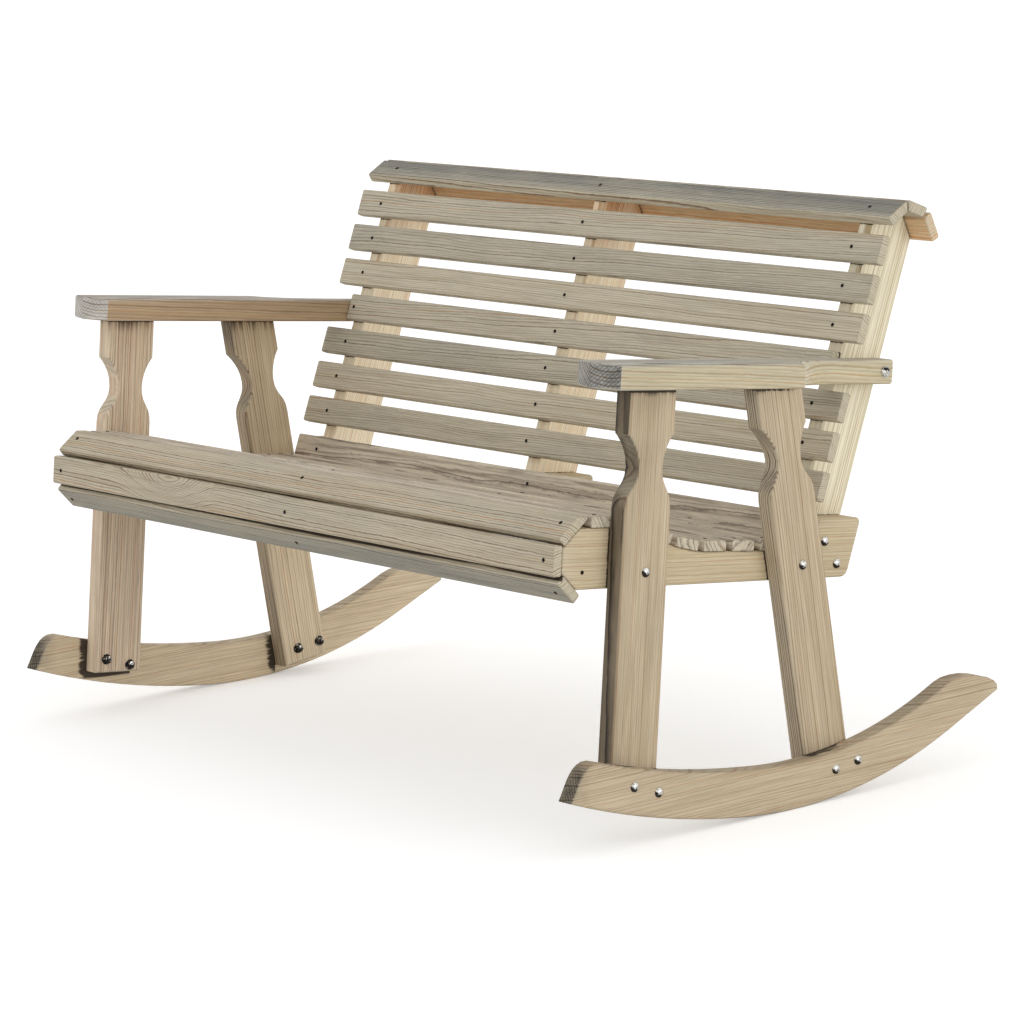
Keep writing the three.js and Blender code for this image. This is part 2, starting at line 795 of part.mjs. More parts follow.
// Every slat: seat, front of the seat, back, and the roll over the top.
function add_slats() {
  seat_slat_places().forEach(([front, rear], i) => {
    const outline = seat_slat_outline(front, rear);
    add_timber(`seat_slat_${i + 1}`, slat_from_outline(outline, slat_length), timber_colours.grey);
  });
  Object.entries(nose_slat_outlines()).forEach(([word, outline]) => {
    add_timber(`front_slat_${word}`, slat_from_outline(outline, slat_length), timber_colours.grey);
  });
  const chain = roll_chain();
  ["front", "top", "rear"].forEach((word, i) => {
    const outline = roll_slat_outline(chain, i);
    add_timber(`roll_slat_${word}`, slat_from_outline(outline, slat_length), timber_colours.grey);
  });
  for (let i = 1; i <= back_slat_count; i += 1) {
    const rise = (back_slat_count - i) * back_slat_pitch * Math.cos(upright_lean);
    const short_length = 2 * (rail_inner - short_slat_clearance);
    const length = i === slats_above_arms_count + 1 ? short_length : slat_length;
    const slat = back_slat(lowest_back_slat_level + rise, length);
    add_timber(`back_slat_${i}`, slat, timber_colours.grey);
  }
  add_timber("back_slat_foot", back_slat(foot_slat_level, slat_length), timber_colours.grey);
}

add_side(1, "right");
add_side(-1, "left");
add_centre();
add_slats();

// Turn the bench to the pitch it rests at, then put the middle of its footprint at the origin.
bench.rotation.x = -rest_pitch;
bench.updateMatrixWorld(true);
const bounds = new THREE.Box3().setFromObject(bench, true);
bench.position.set(0, -(bounds.min.y + bounds.max.y) / 2, -bounds.min.z);

export default bench;
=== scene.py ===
"""Looks of an outdoor rocking bench in bare treated pine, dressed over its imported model."""

import logging
import random
from dataclasses import dataclass, field, replace
from enum import Enum
from math import cos, pi, radians, sin

import bmesh
import bpy
import numpy as np
from bmesh.types import BMEdge, BMesh, BMFace
from bpy.types import Material, Mesh, Node, NodeSocket as Socket, NodeTree, Object
from mathutils import Matrix, Quaternion, Vector
from mathutils.bvhtree import BVHTree


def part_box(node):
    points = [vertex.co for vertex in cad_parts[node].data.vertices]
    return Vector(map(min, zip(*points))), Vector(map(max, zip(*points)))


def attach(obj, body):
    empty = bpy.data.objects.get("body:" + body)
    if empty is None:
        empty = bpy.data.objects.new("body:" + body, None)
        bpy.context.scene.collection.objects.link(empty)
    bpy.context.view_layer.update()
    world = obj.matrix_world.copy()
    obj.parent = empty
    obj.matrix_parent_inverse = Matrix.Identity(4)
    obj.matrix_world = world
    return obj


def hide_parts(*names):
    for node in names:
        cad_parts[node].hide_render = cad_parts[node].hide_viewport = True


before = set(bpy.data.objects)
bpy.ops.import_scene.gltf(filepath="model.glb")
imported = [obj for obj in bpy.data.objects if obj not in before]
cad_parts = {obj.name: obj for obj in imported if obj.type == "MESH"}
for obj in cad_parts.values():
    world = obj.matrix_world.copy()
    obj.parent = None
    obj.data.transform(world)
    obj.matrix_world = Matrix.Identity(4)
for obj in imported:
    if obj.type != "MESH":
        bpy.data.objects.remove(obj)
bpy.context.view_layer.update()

log = logging.getLogger("rocking_bench")

Colour = Place = tuple[float, float, float]
Pair = tuple[float, float]
MM = 0.001

# What a pine finish gives to the pine_colouring and pine_figure groups, by the names of its fields.
PAINTS = (
    "earlywood", "latewood", "resin", "streak", "stain", "end", "knot", "arris",
    "weathered", "weathered_line", "weathered_end",
)
HABITS = ("swirl", "ring_width", "wander", "ripple", "knots")


class Lay(Enum):
    """How a board lies in the bench, which tells where its grain runs."""

    ACROSS_BENCH = "slats, with the grain from side to side"
    ON_EDGE = "boards that show their wide face to the side"
    FLAT = "arms, with the wide face up"


@dataclass(frozen=True)
class Noise:
    """A noise pattern: its waves to the metre each way, its detail and its roughness."""

    waves: Place
    detail: float
    rough: float = 0.5


DRIFT = Noise((3.2, 15.0, 15.0), 1.0)
SHAKE = Noise((20.0, 95.0, 95.0), 3.0, 0.6)
CRIMP = Noise((95.0, 420.0, 420.0), 1.0)
FIBRE = Noise((14.0, 760.0, 760.0), 3.0, 0.62)
STREAK = Noise((2.6, 120.0, 120.0), 3.0, 0.62)
TEAR = Noise((140.0, 140.0, 140.0), 3.0, 0.6)
CLOUD = Noise((4.6, 24.0, 24.0), 4.0, 0.6)
BLOOM = Noise((320.0, 320.0, 320.0), 4.0, 0.6)
SCRATCH = Noise((900.0, 2600.0, 2600.0), 2.0, 0.6)
RUB = Noise((520.0, 520.0, 520.0), 3.0, 0.6)
SCREED = Noise((1.5, 1.5, 1.5), 3.0)

# The growth rings: how a knot and a swirl bend them, and where in a year the dark wood comes and goes.
KNOT_GRID = (2.6, 5.2, 0.0)
KNOT_RIM, KNOT_CORE, KNOT_PULL, KNOT_MIDDLE = 0.034, 0.024, 0.17, 0.02
SWIRL_SQUEEZE, SWIRL_RINGS = 0.42, 10.5
WANDER_SHARE, SHAKE_SHARE, CRIMP_SHARE, KNOT_SHARE = 4.0, 1.1, 0.35, 2.6
WIDTH_WAVES, WIDTH_SHARE = 70.0, 2.0
DARK_COMES, DARK_GOES = (0.40, 0.86), (0.90, 1.0)
FAINTEST_YEAR = 0.30

# The saw's strokes across an end: which way they slant, how close they lie, and how deep they are.
SAW_STROKES = (("ADD", 1050.0, 1.0), ("SUBTRACT", 820.0, 0.5))
SAW_WAVER = 5.0
# Near-black painted shadow beside the joints between boards.
JOINT_SHADOW_BLACK = (0.022, 0.014, 0.009)
WHITE = (1.0, 1.0, 1.0, 1.0)

# How far up a tree a board may have been sawn, in metres, how finely its slant is measured, in degrees, and
# where the random draws start.
TREE_HEIGHT = 40.0
TURN_STEP = 0.1
SEED = 47

# The slats by their nodes: the front ones from below, seat and roll from the front, the back from above.
FRONT_SLATS = ("front_slat_lower", "front_slat_middle", "front_slat_upper")
SEAT_SLATS = tuple(f"seat_slat_{i}" for i in range(1, 9))
FOOT_SLAT = "back_slat_foot"
BACK_SLATS = tuple(f"back_slat_{i}" for i in range(1, 8))
ROLL_SLATS = ("roll_slat_front", "roll_slat_top", "roll_slat_rear")


def shade(red: int, green: int, blue: int) -> Colour:
    """Turn a colour as it looks on a screen into the linear colour that shaders take.

    Args:
        red: Red from 0 to 255.
        green: Green from 0 to 255.
        blue: Blue from 0 to 255.

    Returns:
        The linear red, green and blue from 0 to 1.
    """
    parts = [value / 255 for value in (red, green, blue)]
    return tuple(p / 12.92 if p <= 0.04045 else ((p + 0.055) / 1.055) ** 2.4 for p in parts)


def socket_name(name: str, ending: str = "") -> str:
    """Turn a field's name into the name of its socket."""
    return name.replace("_", " ").title() + ending


class Graph:
    """A node tree with short ways to add nodes and join them."""

    def __init__(self, tree: NodeTree) -> None:
        """Keep the tree that the nodes go into."""
        self.tree = tree

    def add(self, kind: str, **settings: object) -> Node:
        """Add a node.

        Args:
            kind: The node's type name without the leading ShaderNode.
            settings: Values for the node's own properties.

        Returns:
            The new node.
        """
        node = self.tree.nodes.new("ShaderNode" + kind if not kind.startswith("NodeGroup") else kind)
        for name, value in settings.items():
            setattr(node, name, value)
        return node

    def feed(self, socket: Socket, value: object) -> None:
        """Join an output to a socket, or set the socket to a plain value."""
        if isinstance(value, Socket):
            self.tree.links.new(value, socket)
        else:
            socket.default_value = value

    def fill(self, node: Node, values: dict[str, object]) -> None:
        """Feed the inputs of a node by their names."""
        for name, value in values.items():
            self.feed(node.inputs[name], value)

    def sum(self, kind: str, first: object, second: object = 0.0, clamp: bool = False) -> Socket:
        """Work out a number from one or two others.

        Args:
            kind: The operation, such as MULTIPLY.
            first: A number or an output.
            second: A number or an output.
            clamp: True to keep the result from 0 to 1.

        Returns:
            The output with the result.
        """
        node = self.add("Math", operation=kind, use_clamp=clamp)
        self.feed(node.inputs[0], first)
        self.feed(node.inputs[1], second)
        return node.outputs[0]

    def times(self, first: object, second: object, clamp: bool = False) -> Socket:
        """Multiply two numbers, kept from 0 to 1 if they are clamped."""
        return self.sum("MULTIPLY", first, second, clamp)

    def plus(self, first: object, second: object, clamp: bool = False) -> Socket:
        """Add two numbers, kept from 0 to 1 if they are clamped."""
        return self.sum("ADD", first, second, clamp)

    def minus(self, first: object, second: object) -> Socket:
        """Take the second number from the first."""
        return self.sum("SUBTRACT", first, second)

    def vector(self, kind: str, first: object, second: object = None) -> Socket:
        """Work out a vector, or the length of one.

        Args:
            kind: The operation, such as MULTIPLY.
            first: A vector.
            second: A vector, or the number that SCALE takes.

        Returns:
            The output with the result.
        """
        node = self.add("VectorMath", operation=kind)
        self.feed(node.inputs[0], first)
        if second is not None:
            self.feed(node.inputs["Scale" if kind == "SCALE" else 1], second)
        return node.outputs["Value" if kind == "LENGTH" else 0]

    def split(self, vector: object) -> list[Socket]:
        """Take a vector apart.

        Args:
            vector: The vector.

        Returns:
            The outputs with its three numbers.
        """
        node = self.add("SeparateXYZ")
        self.feed(node.inputs[0], vector)
        return list(node.outputs)

    def noise(self, vector: object, kind: Noise, output: str = "Fac") -> Socket:
        """Add a noise.

        Args:
            vector: The place, in metres.
            kind: The pattern.
            output: Fac for a number, or Color for a vector.

        Returns:
            The output with the noise.
        """
        node = self.add("TexNoise")
        place = self.vector("MULTIPLY", vector, kind.waves)
        self.fill(node, {"Vector": place, "Scale": 1.0, "Detail": kind.detail, "Roughness": kind.rough})
        return node.outputs[output]

    def bump(self, height: object, distance: float, strength: float = 1.0) -> Socket:
        """Turn a height into a normal.

        Args:
            height: The height, where 1 is the whole distance.
            distance: How far the surface rises, in metres.
            strength: How strongly it shows.

        Returns:
            The output with the normal.
        """
        node = self.add("Bump")
        self.fill(node, {"Height": height, "Distance": distance, "Strength": strength})
        return node.outputs[0]

    def ramp(self, value: object, start: float, end: float, low: object = 0.0, high: object = 1.0) -> Socket:
        """Carry a value smoothly from low to high between two places.

        Args:
            value: The value that is looked at.
            start: Where the result is low.
            end: Where the result is high.
            low: The result at the start.
            high: The result at the end.

        Returns:
            The output with the result.
        """
        node = self.add("MapRange", interpolation_type="SMOOTHSTEP")
        for socket, given in zip(node.inputs, (value, start, end, low, high)):
            self.feed(socket, given)
        return node.outputs[0]

    def mix(self, share: object, first: object, second: object, kind: str = "MIX") -> Socket:
        """Mix two colours.

        Args:
            share: How much of the second colour shows.
            first: The first colour.
            second: The second colour.
            kind: The way they mix.

        Returns:
            The output with the mixed colour.
        """
        node = self.add("Mix", data_type="RGBA", blend_type=kind)
        colours = [socket for socket in node.inputs if socket.type == "RGBA"]
        self.feed(node.inputs[0], share)
        for socket, given in zip(colours, (first, second)):
            self.feed(socket, (*given, 1.0) if isinstance(given, tuple) else given)
        return next(socket for socket in node.outputs if socket.type == "RGBA")


@dataclass
class Group:
    """A shader node group under construction, with its named inputs and outputs."""

    name: str
    inputs: dict[str, object]
    outputs: tuple[str, ...]

    def __post_init__(self) -> None:
        """Make the group's sockets and its inner graph."""
        self.tree = bpy.data.node_groups.new(self.name, "ShaderNodeTree")
        self.graph = Graph(self.tree)
        for name, value in self.inputs.items():
            kind = "Float" if isinstance(value, float) else {3: "Vector", 4: "Color"}[len(value)]
            socket = self.tree.interface.new_socket(name, in_out="INPUT", socket_type="NodeSocket" + kind)
            socket.default_value = value
        for name in self.outputs:
            kind = "Color" if name == "Colour" else "Float"
            self.tree.interface.new_socket(name, in_out="OUTPUT", socket_type="NodeSocket" + kind)
        self.entry = self.graph.add("NodeGroupInput")
        self.exit = self.graph.add("NodeGroupOutput")

    def given(self, name: str) -> Socket:
        """Return the value that comes in under a name."""
        return self.entry.outputs[name]

    def give(self, name: str, value: object) -> None:
        """Send a value out under a name."""
        self.graph.feed(self.exit.inputs[name], value)


def pine_figure() -> NodeTree:
    """Build the group that grows the figure of a pine board out of its growth rings.

    Returns:
        The group. Its Board input holds the place along, across and through the board in metres, from the
        heart of the tree. Swirl is a place along and across the board that the rings bend round, and how far
        they do.
    """
    inputs = {
        "Board": (0.0, 0.0, 0.0), "Swirl": (0.0, -9.0, 0.02), "Ring Width": 0.004, "Wander": 0.006,
        "Ripple": 1.0, "Knots": 0.3,
    }
    group = Group("pine_figure", inputs, ("Latewood", "Year", "Fibre", "Streak", "Knot", "Height"))
    g, given, board = group.graph, group.given, group.given("Board")
    drift = g.vector("SUBTRACT", g.noise(board, DRIFT, "Color"), (0.5, 0.5, 0.5))
    drift = g.vector("SCALE", drift, g.times(given("Wander"), WANDER_SHARE))
    moved = g.vector("ADD", board, drift)
    radius = g.vector("LENGTH", g.vector("MULTIPLY", moved, (0.0, 1.0, 1.0)))

    spots = g.add("TexVoronoi", voronoi_dimensions="2D", feature="F1")
    g.fill(spots, {"Vector": g.vector("MULTIPLY", board, KNOT_GRID), "Scale": 1.0})
    tone = g.add("SeparateColor")
    g.feed(tone.inputs[0], spots.outputs["Color"])
    held = g.sum("LESS_THAN", tone.outputs[0], given("Knots"))
    away = spots.outputs["Distance"]
    knot = g.times(g.ramp(away, KNOT_RIM, KNOT_CORE), held)
    swell = g.times(g.ramp(away, KNOT_PULL, KNOT_MIDDLE), held)

    centre, here = g.split(given("Swirl")), g.split(moved)
    aside = g.add("CombineXYZ")
    g.feed(aside.inputs[0], g.times(g.minus(here[0], centre[0]), SWIRL_SQUEEZE))
    g.feed(aside.inputs[1], g.minus(here[1], centre[1]))
    far = g.vector("LENGTH", aside.outputs[0])
    bend = g.ramp(g.sum("DIVIDE", far, centre[2]), 0.0, 1.0, SWIRL_RINGS, 0.0)

    width = g.add("TexNoise", noise_dimensions="1D")
    g.fill(width, {"W": g.times(radius, WIDTH_WAVES), "Scale": 1.0})
    count = g.sum("DIVIDE", radius, given("Ring Width"))
    shaken = g.times(g.noise(board, SHAKE), SHAKE_SHARE)
    shaken = g.plus(shaken, g.times(g.noise(board, CRIMP), CRIMP_SHARE))
    shaken = g.times(shaken, given("Ripple"))
    for extra, by in ((width.outputs[0], WIDTH_SHARE), (shaken, 1.0), (swell, KNOT_SHARE), (bend, 1.0)):
        count = g.plus(count, g.times(extra, by))
    part = g.sum("FRACT", count)
    year = g.add("TexWhiteNoise", noise_dimensions="1D")
    g.feed(year.inputs["W"], g.sum("FLOOR", count))
    late = g.times(g.ramp(part, *DARK_COMES), g.ramp(part, *DARK_GOES, 1.0, 0.0))
    late = g.times(late, g.ramp(year.outputs[0], 0.0, 1.0, FAINTEST_YEAR, 1.0))

    fibre = g.noise(board, FIBRE)
    group.give("Latewood", late)
    group.give("Year", year.outputs[0])
    group.give("Fibre", fibre)
    group.give("Streak", g.noise(board, STREAK))
    group.give("Knot", knot)
    group.give("Height", g.plus(g.times(late, 0.5), g.times(fibre, 0.6)))
    return group.tree


def sawn_worn_and_shaded() -> NodeTree:
    """Build the group that tells sawn ends, arrises, stains, weathered faces and painted shade of a board.

    Returns:
        The group. Its input of wear and shade holds how squarely a face cuts the grain, how weathered and
        shaded it is, and how near the next board is. It puts out a mask for each mark, with the painted
        highlight and shade on the arrises and the painted shadow by a joint, how strongly the figure shows,
        and the saw marks.
    """
    inputs = {"Board": (0.0, 0.0, 0.0), "Wear And Shade": (0.0, 0.0, 0.0), "Arris": 0.0}
    outputs = ("End Grain", "Arris", "Groove", "Stain", "Weather", "Figure", "Saw Marks")
    group = Group("sawn_worn_and_shaded", inputs, outputs)
    g, board = group.graph, group.given("Board")
    torn, cloud = g.noise(board, TEAR), g.noise(board, CLOUD)
    square, weather, near = g.split(group.given("Wear And Shade"))
    group.give("End Grain", g.times(g.ramp(square, 0.15, 0.60), g.ramp(torn, 0.2, 0.7, 0.7, 1.0)))
    # A painted highlight on the arrises of light timber and painted shade on those of the slats, broken up
    # like wear.
    group.give("Arris", g.times(group.given("Arris"), g.ramp(torn, 0.40, 0.62)))
    # Painted shadow beside a joint, and the darkening in front of a leg.
    group.give("Groove", near)
    group.give("Stain", g.ramp(cloud, 0.48, 0.70))
    # Weathering together with painted shade, broken up by a cloud.
    group.give("Weather", g.times(weather, g.ramp(cloud, 0.34, 0.66, 0.72, 1.12), clamp=True))
    # Below zero, which only painted front light gives, the figure fades and the face is painted paler.
    group.give("Figure", g.ramp(weather, -1.0, 0.0, 0.15, 1.0))
    _, across, through = g.split(board)
    waver = g.times(torn, SAW_WAVER)
    marks = 0.0
    for slant, pitch, depth in SAW_STROKES:
        stroke = g.times(g.sum(slant, across, through), pitch)
        stroke = g.ramp(g.sum("SINE", g.plus(stroke, waver)), 0.2, 0.95, 0.0, depth)
        marks = g.sum("MAXIMUM", stroke, marks)
    group.give("Saw Marks", g.times(marks, g.ramp(square, 0.55, 0.9)))
    return group.tree


def pine_colouring() -> NodeTree:
    """Build the group that colours a pine board from its masks, painted shade and highlights among them.

    Returns:
        The group, which puts out the board's colour and its roughness.
    """
    masks = (
        "Latewood", "Year", "Fibre", "Streak", "Knot", "End Grain", "Arris", "Groove", "Stain", "Weather",
        "Figure", "Saw Marks",
    )
    inputs = dict.fromkeys(masks, 0.0) | {"Contrast": 0.8}
    inputs |= {socket_name(paint, " Colour"): (0.5, 0.5, 0.5, 1.0) for paint in PAINTS}
    group = Group("pine_colouring", inputs, ("Colour", "Roughness"))
    g, given = group.graph, group.given
    weather, end_grain = given("Weather"), given("End Grain")
    early = g.mix(g.ramp(given("Streak"), 0.44, 0.64), given("Earlywood Colour"), given("Streak Colour"))
    early = g.mix(g.times(given("Stain"), 0.55), early, given("Stain Colour"))
    # Weathering and painted shade carry the wood towards the weathered colours.
    early = g.mix(weather, early, given("Weathered Colour"))
    line = g.mix(g.ramp(given("Year"), 0.80, 0.90), given("Latewood Colour"), given("Resin Colour"))
    line = g.mix(weather, line, given("Weathered Line Colour"))
    strength = g.times(given("Contrast"), g.ramp(weather, 0.0, 1.0, 1.0, 1.7))
    late = g.times(g.times(given("Latewood"), strength), given("Figure"), clamp=True)
    ends = g.mix(weather, given("End Colour"), given("Weathered End Colour"))
    colour = g.mix(late, g.mix(g.times(end_grain, 0.92), early, ends), line)
    bright, tint = g.ramp(given("Fibre"), 0.28, 0.72, 0.86, 1.10), g.add("CombineColor")
    for socket in tint.inputs:
        g.feed(socket, bright)
    colour = g.mix(1.0, colour, tint.outputs[0], "MULTIPLY")
    colour = g.mix(given("Knot"), colour, given("Knot Colour"))
    sawn = g.times(g.times(given("Saw Marks"), weather), 0.85)
    colour = g.mix(sawn, colour, given("Weathered Line Colour"))
    # Painted highlight and shade along the worn arrises, by the finish's arris colour.
    colour = g.mix(g.times(given("Arris"), 0.42), colour, given("Arris Colour"))
    ragged = g.ramp(given("Streak"), 0.36, 0.64, 0.6, 1.6)
    # Painted shadow beside the joints, ragged along the streaks.
    joint_shadow = g.ramp(g.times(given("Groove"), ragged), 0.16, 0.62, 0.0, 0.94)
    group.give("Colour", g.mix(joint_shadow, colour, JOINT_SHADOW_BLACK))
    rough = g.minus(g.ramp(given("Fibre"), 0.25, 0.75, 0.58, 0.74), g.times(late, 0.10))
    group.give("Roughness", g.plus(rough, g.times(end_grain, 0.15), clamp=True))
    return group.tree


def new_material(name: str) -> tuple[Material, Graph, Node]:
    """Start a material.

    Args:
        name: The name of the material.

    Returns:
        The material, its graph and its shader.
    """
    made = bpy.data.materials.new(name)
    made.use_nodes = True
    return made, Graph(made.node_tree), made.node_tree.nodes["Principled BSDF"]


def new_piece(name: str, bm: BMesh, material: Material) -> Object:
    """Turn a finished shape into a piece of the scene, and report it.

    Args:
        name: The name of the piece.
        bm: The shape, which is used up.
        material: The piece's material.

    Returns:
        The new piece.
    """
    mesh = bpy.data.meshes.new(name)
    bm.to_mesh(mesh)
    bm.free()
    mesh.materials.append(material)
    piece = bpy.data.objects.new(name, mesh)
    bpy.context.scene.collection.objects.link(piece)
    log.info("%s: %d faces", name, len(mesh.polygons))
    return piece


def break_edges(bm: BMesh, edges: list[BMEdge], width: float) -> list[BMFace]:
    """Round the given edges off.

    Args:
        bm: The shape.
        edges: The edges.
        width: How far the rounding reaches into each face.

    Returns:
        The faces of the rounding.
    """
    return bmesh.ops.bevel(
        bm, geom=edges, offset=width, offset_type="OFFSET", segments=2, profile=0.5,
        affect="EDGES", material=-1, clamp_overlap=True,
    )["faces"]


def smooth_between(bm: BMesh, sharp: float) -> None:
    """Shade a shape smooth up to its sharp edges.

    Args:
        bm: The shape.
        sharp: The angle from which an edge is sharp.
    """
    for face in bm.faces:
        face.smooth = True
    for edge in bm.edges:
        edge.smooth = not (len(edge.link_faces) == 2 and edge.calc_face_angle() > sharp)


@dataclass(frozen=True)
class PineFinish:
    """One look of bare treated pine.

    Every colour is as it looks in even light.
    """

    name: str
    slot: str
    earlywood: Colour
    latewood: Colour
    streak: Colour
    stain: Colour
    resin: Colour = shade(168, 112, 62)
    end: Colour = shade(206, 196, 172)
    knot: Colour = shade(96, 66, 42)
    # The arris colour is a painted highlight along the worn edges; finishes with a dark one paint shade
    # there.
    arris: Colour = shade(218, 208, 184)
    # The weathered colours serve both weathering and painted shade on faces that look front, up and down and
    # at the heads.
    weathered: Colour = shade(150, 146, 134)
    weathered_line: Colour = shade(104, 94, 78)
    weathered_end: Colour = shade(140, 136, 126)
    ring_width: float = 3.4 * MM
    wander: float = 3.0 * MM
    ripple: float = 0.8
    contrast: float = 0.85
    knots: float = 0.25
    relief: float = 0.35 * MM
    swirl: Place = (0.0, -9.0, 0.02)

    def material(self, groups: dict[str, NodeTree]) -> Material:
        """Make the material of this finish.

        Args:
            groups: The shared node groups by name.

        Returns:
            The new material.
        """
        made, g, shader = new_material(self.name)
        place = {name: g.add("Attribute", attribute_name=name).outputs for name in ("board", "wear", "arris")}
        figure = g.add("Group", node_tree=groups["pine_figure"])
        worn_and_shaded = g.add("Group", node_tree=groups["sawn_worn_and_shaded"])
        paint = g.add("Group", node_tree=groups["pine_colouring"])
        g.fill(worn_and_shaded, {"Wear And Shade": place["wear"]["Vector"], "Arris": place["arris"]["Fac"]})
        for node in (figure, worn_and_shaded):
            g.feed(node.inputs["Board"], place["board"]["Vector"])
            for socket in node.outputs:
                if socket.name in paint.inputs:
                    g.feed(paint.inputs[socket.name], socket)
        g.fill(figure, {socket_name(name): getattr(self, name) for name in HABITS})
        g.fill(paint, {socket_name(name, " Colour"): (*getattr(self, name), 1.0) for name in PAINTS})
        g.fill(paint, {"Contrast": self.contrast})
        height = g.minus(figure.outputs["Height"], worn_and_shaded.outputs["Saw Marks"])
        g.fill(shader, {
            "Base Color": paint.outputs["Colour"], "Roughness": paint.outputs["Roughness"],
            "Normal": g.bump(height, self.relief, 0.8), "Specular IOR Level": 0.3,
        })
        return made


@dataclass(frozen=True)
class ZincFinish:
    """Zinc plate on the carriage bolts, bright above and almost black below and on the nuts: tarnish, with a
    painted dark reflection underneath.
    """

    name: str = "zinc_plate"
    slot: str = "bolt_zinc"
    bright: Colour = shade(232, 231, 226)
    bloom: Colour = shade(158, 154, 144)
    tarnish_and_dark_reflection: Colour = shade(34, 29, 24)
    scratch_depth: float = 0.03 * MM

    def material(self) -> Material:
        """Make the material of the plated steel."""
        made, g, shader = new_material(self.name)
        spot = g.add("TexCoord").outputs["Object"]
        cloud = g.noise(spot, BLOOM)
        dull = g.add("Attribute", attribute_name="tarnish_and_dark_reflection").outputs["Fac"]
        patch = g.ramp(g.plus(dull, g.times(g.minus(cloud, 0.5), 1.6)), 0.40, 0.62)
        plate = g.mix(g.ramp(cloud, 0.40, 0.70), self.bright, self.bloom)
        g.fill(shader, {
            "Base Color": g.mix(patch, plate, self.tarnish_and_dark_reflection),
            "Roughness": g.ramp(patch, 0.0, 1.0, 0.24, 0.55),
            "Metallic": g.ramp(patch, 0.0, 1.0, 1.0, 0.5),
            "Normal": g.bump(g.noise(spot, SCRATCH), self.scratch_depth),
        })
        return made


@dataclass(frozen=True)
class BlackedFinish:
    """Black coated steel of the deck screws, rubbed a little bare."""

    name: str = "blacked_screw"
    slot: str = "bolt_zinc"
    coat: Colour = shade(20, 17, 15)
    rubbed: Colour = shade(48, 41, 34)

    def material(self) -> Material:
        """Make the material of the coated screws."""
        made, g, shader = new_material(self.name)
        rub = g.noise(g.add("TexCoord").outputs["Object"], RUB)
        g.fill(shader, {
            "Base Color": g.mix(g.ramp(rub, 0.58, 0.80), self.coat, self.rubbed),
            "Roughness": g.ramp(rub, 0.3, 0.8, 0.80, 0.60), "Specular IOR Level": 0.2,
        })
        return made


# TAN: its weathered colours are painted shade on the front faces and heads of the legs and on the rockers.
TAN = PineFinish(
    "pine_tan", "timber_tan",
    earlywood=shade(203, 186, 157), latewood=shade(132, 100, 66),
    streak=shade(191, 172, 142), stain=shade(186, 172, 146), resin=shade(176, 124, 82),
    weathered=shade(112, 99, 80), weathered_line=shade(30, 22, 16), weathered_end=shade(104, 96, 84),
    ring_width=3.6 * MM, wander=1.2 * MM, ripple=0.4, contrast=0.56, knots=0.03,
)
# LIGHT, LINED and EDGED_LIGHT are brighter copies of the tan pine for the left side: painted light on faces
# that the bench shades. LINED's darker, stronger lines are its own figure.
LIGHT = replace(
    TAN, name="pine_light",
    earlywood=shade(225, 207, 176), latewood=shade(150, 116, 80), streak=shade(213, 193, 162),
    stain=shade(208, 193, 166), ring_width=4.4 * MM,
)
LINED = replace(
    TAN, name="pine_lined",
    earlywood=shade(230, 210, 182), latewood=shade(98, 68, 52), streak=shade(210, 184, 160),
    stain=shade(208, 190, 166), ring_width=4.6 * MM, ripple=0.5, contrast=0.72,
)
# EDGED and EDGED_LIGHT: their weathered colours are painted shade on the front edges of the rear legs, with
# strong dark lines.
EDGED = replace(TAN, name="pine_edged", weathered=shade(196, 183, 160), contrast=0.68)
EDGED_LIGHT = replace(LIGHT, name="pine_edged_light", weathered=shade(146, 130, 108), contrast=0.72)
RAIL = replace(
    TAN, name="pine_rail",
    earlywood=shade(206, 190, 158), latewood=shade(158, 124, 78), streak=shade(197, 178, 143),
    stain=shade(196, 184, 154), ring_width=4.2 * MM, ripple=0.3, contrast=0.62,
)
PALE = PineFinish(
    "pine_pale", "timber_pale",
    earlywood=shade(240, 231, 205), latewood=shade(166, 142, 94),
    streak=shade(232, 221, 192), stain=shade(229, 220, 192), resin=shade(196, 160, 104),
    ring_width=6.0 * MM, wander=0.5 * MM, ripple=0.2, contrast=0.85, knots=0.0,
)
# WARM: its weathered colours are only painted shade, orange-brown under the roll at the heads of the
# uprights.
WARM = PineFinish(
    "pine_warm", "timber_pale",
    earlywood=shade(254, 242, 215), latewood=shade(208, 166, 118),
    streak=shade(250, 232, 200), stain=shade(246, 226, 192), resin=shade(212, 148, 98),
    weathered=shade(234, 176, 124), weathered_line=shade(112, 64, 38),
    ring_width=3.0 * MM, wander=0.8 * MM, ripple=0.3, contrast=0.70, knots=0.0,
)
# ORANGE: its weathered colours are painted shade on the top face of the rear roll slat.
ORANGE = PineFinish(
    "pine_orange", "timber_pale",
    earlywood=shade(246, 206, 156), latewood=shade(206, 138, 78),
    streak=shade(240, 188, 132), stain=shade(238, 188, 134), resin=shade(210, 130, 70),
    weathered=shade(204, 202, 180), weathered_line=shade(160, 150, 120), weathered_end=shade(210, 206, 188),
    ring_width=5.0 * MM, wander=2.0 * MM, contrast=0.6, knots=0.0,
)
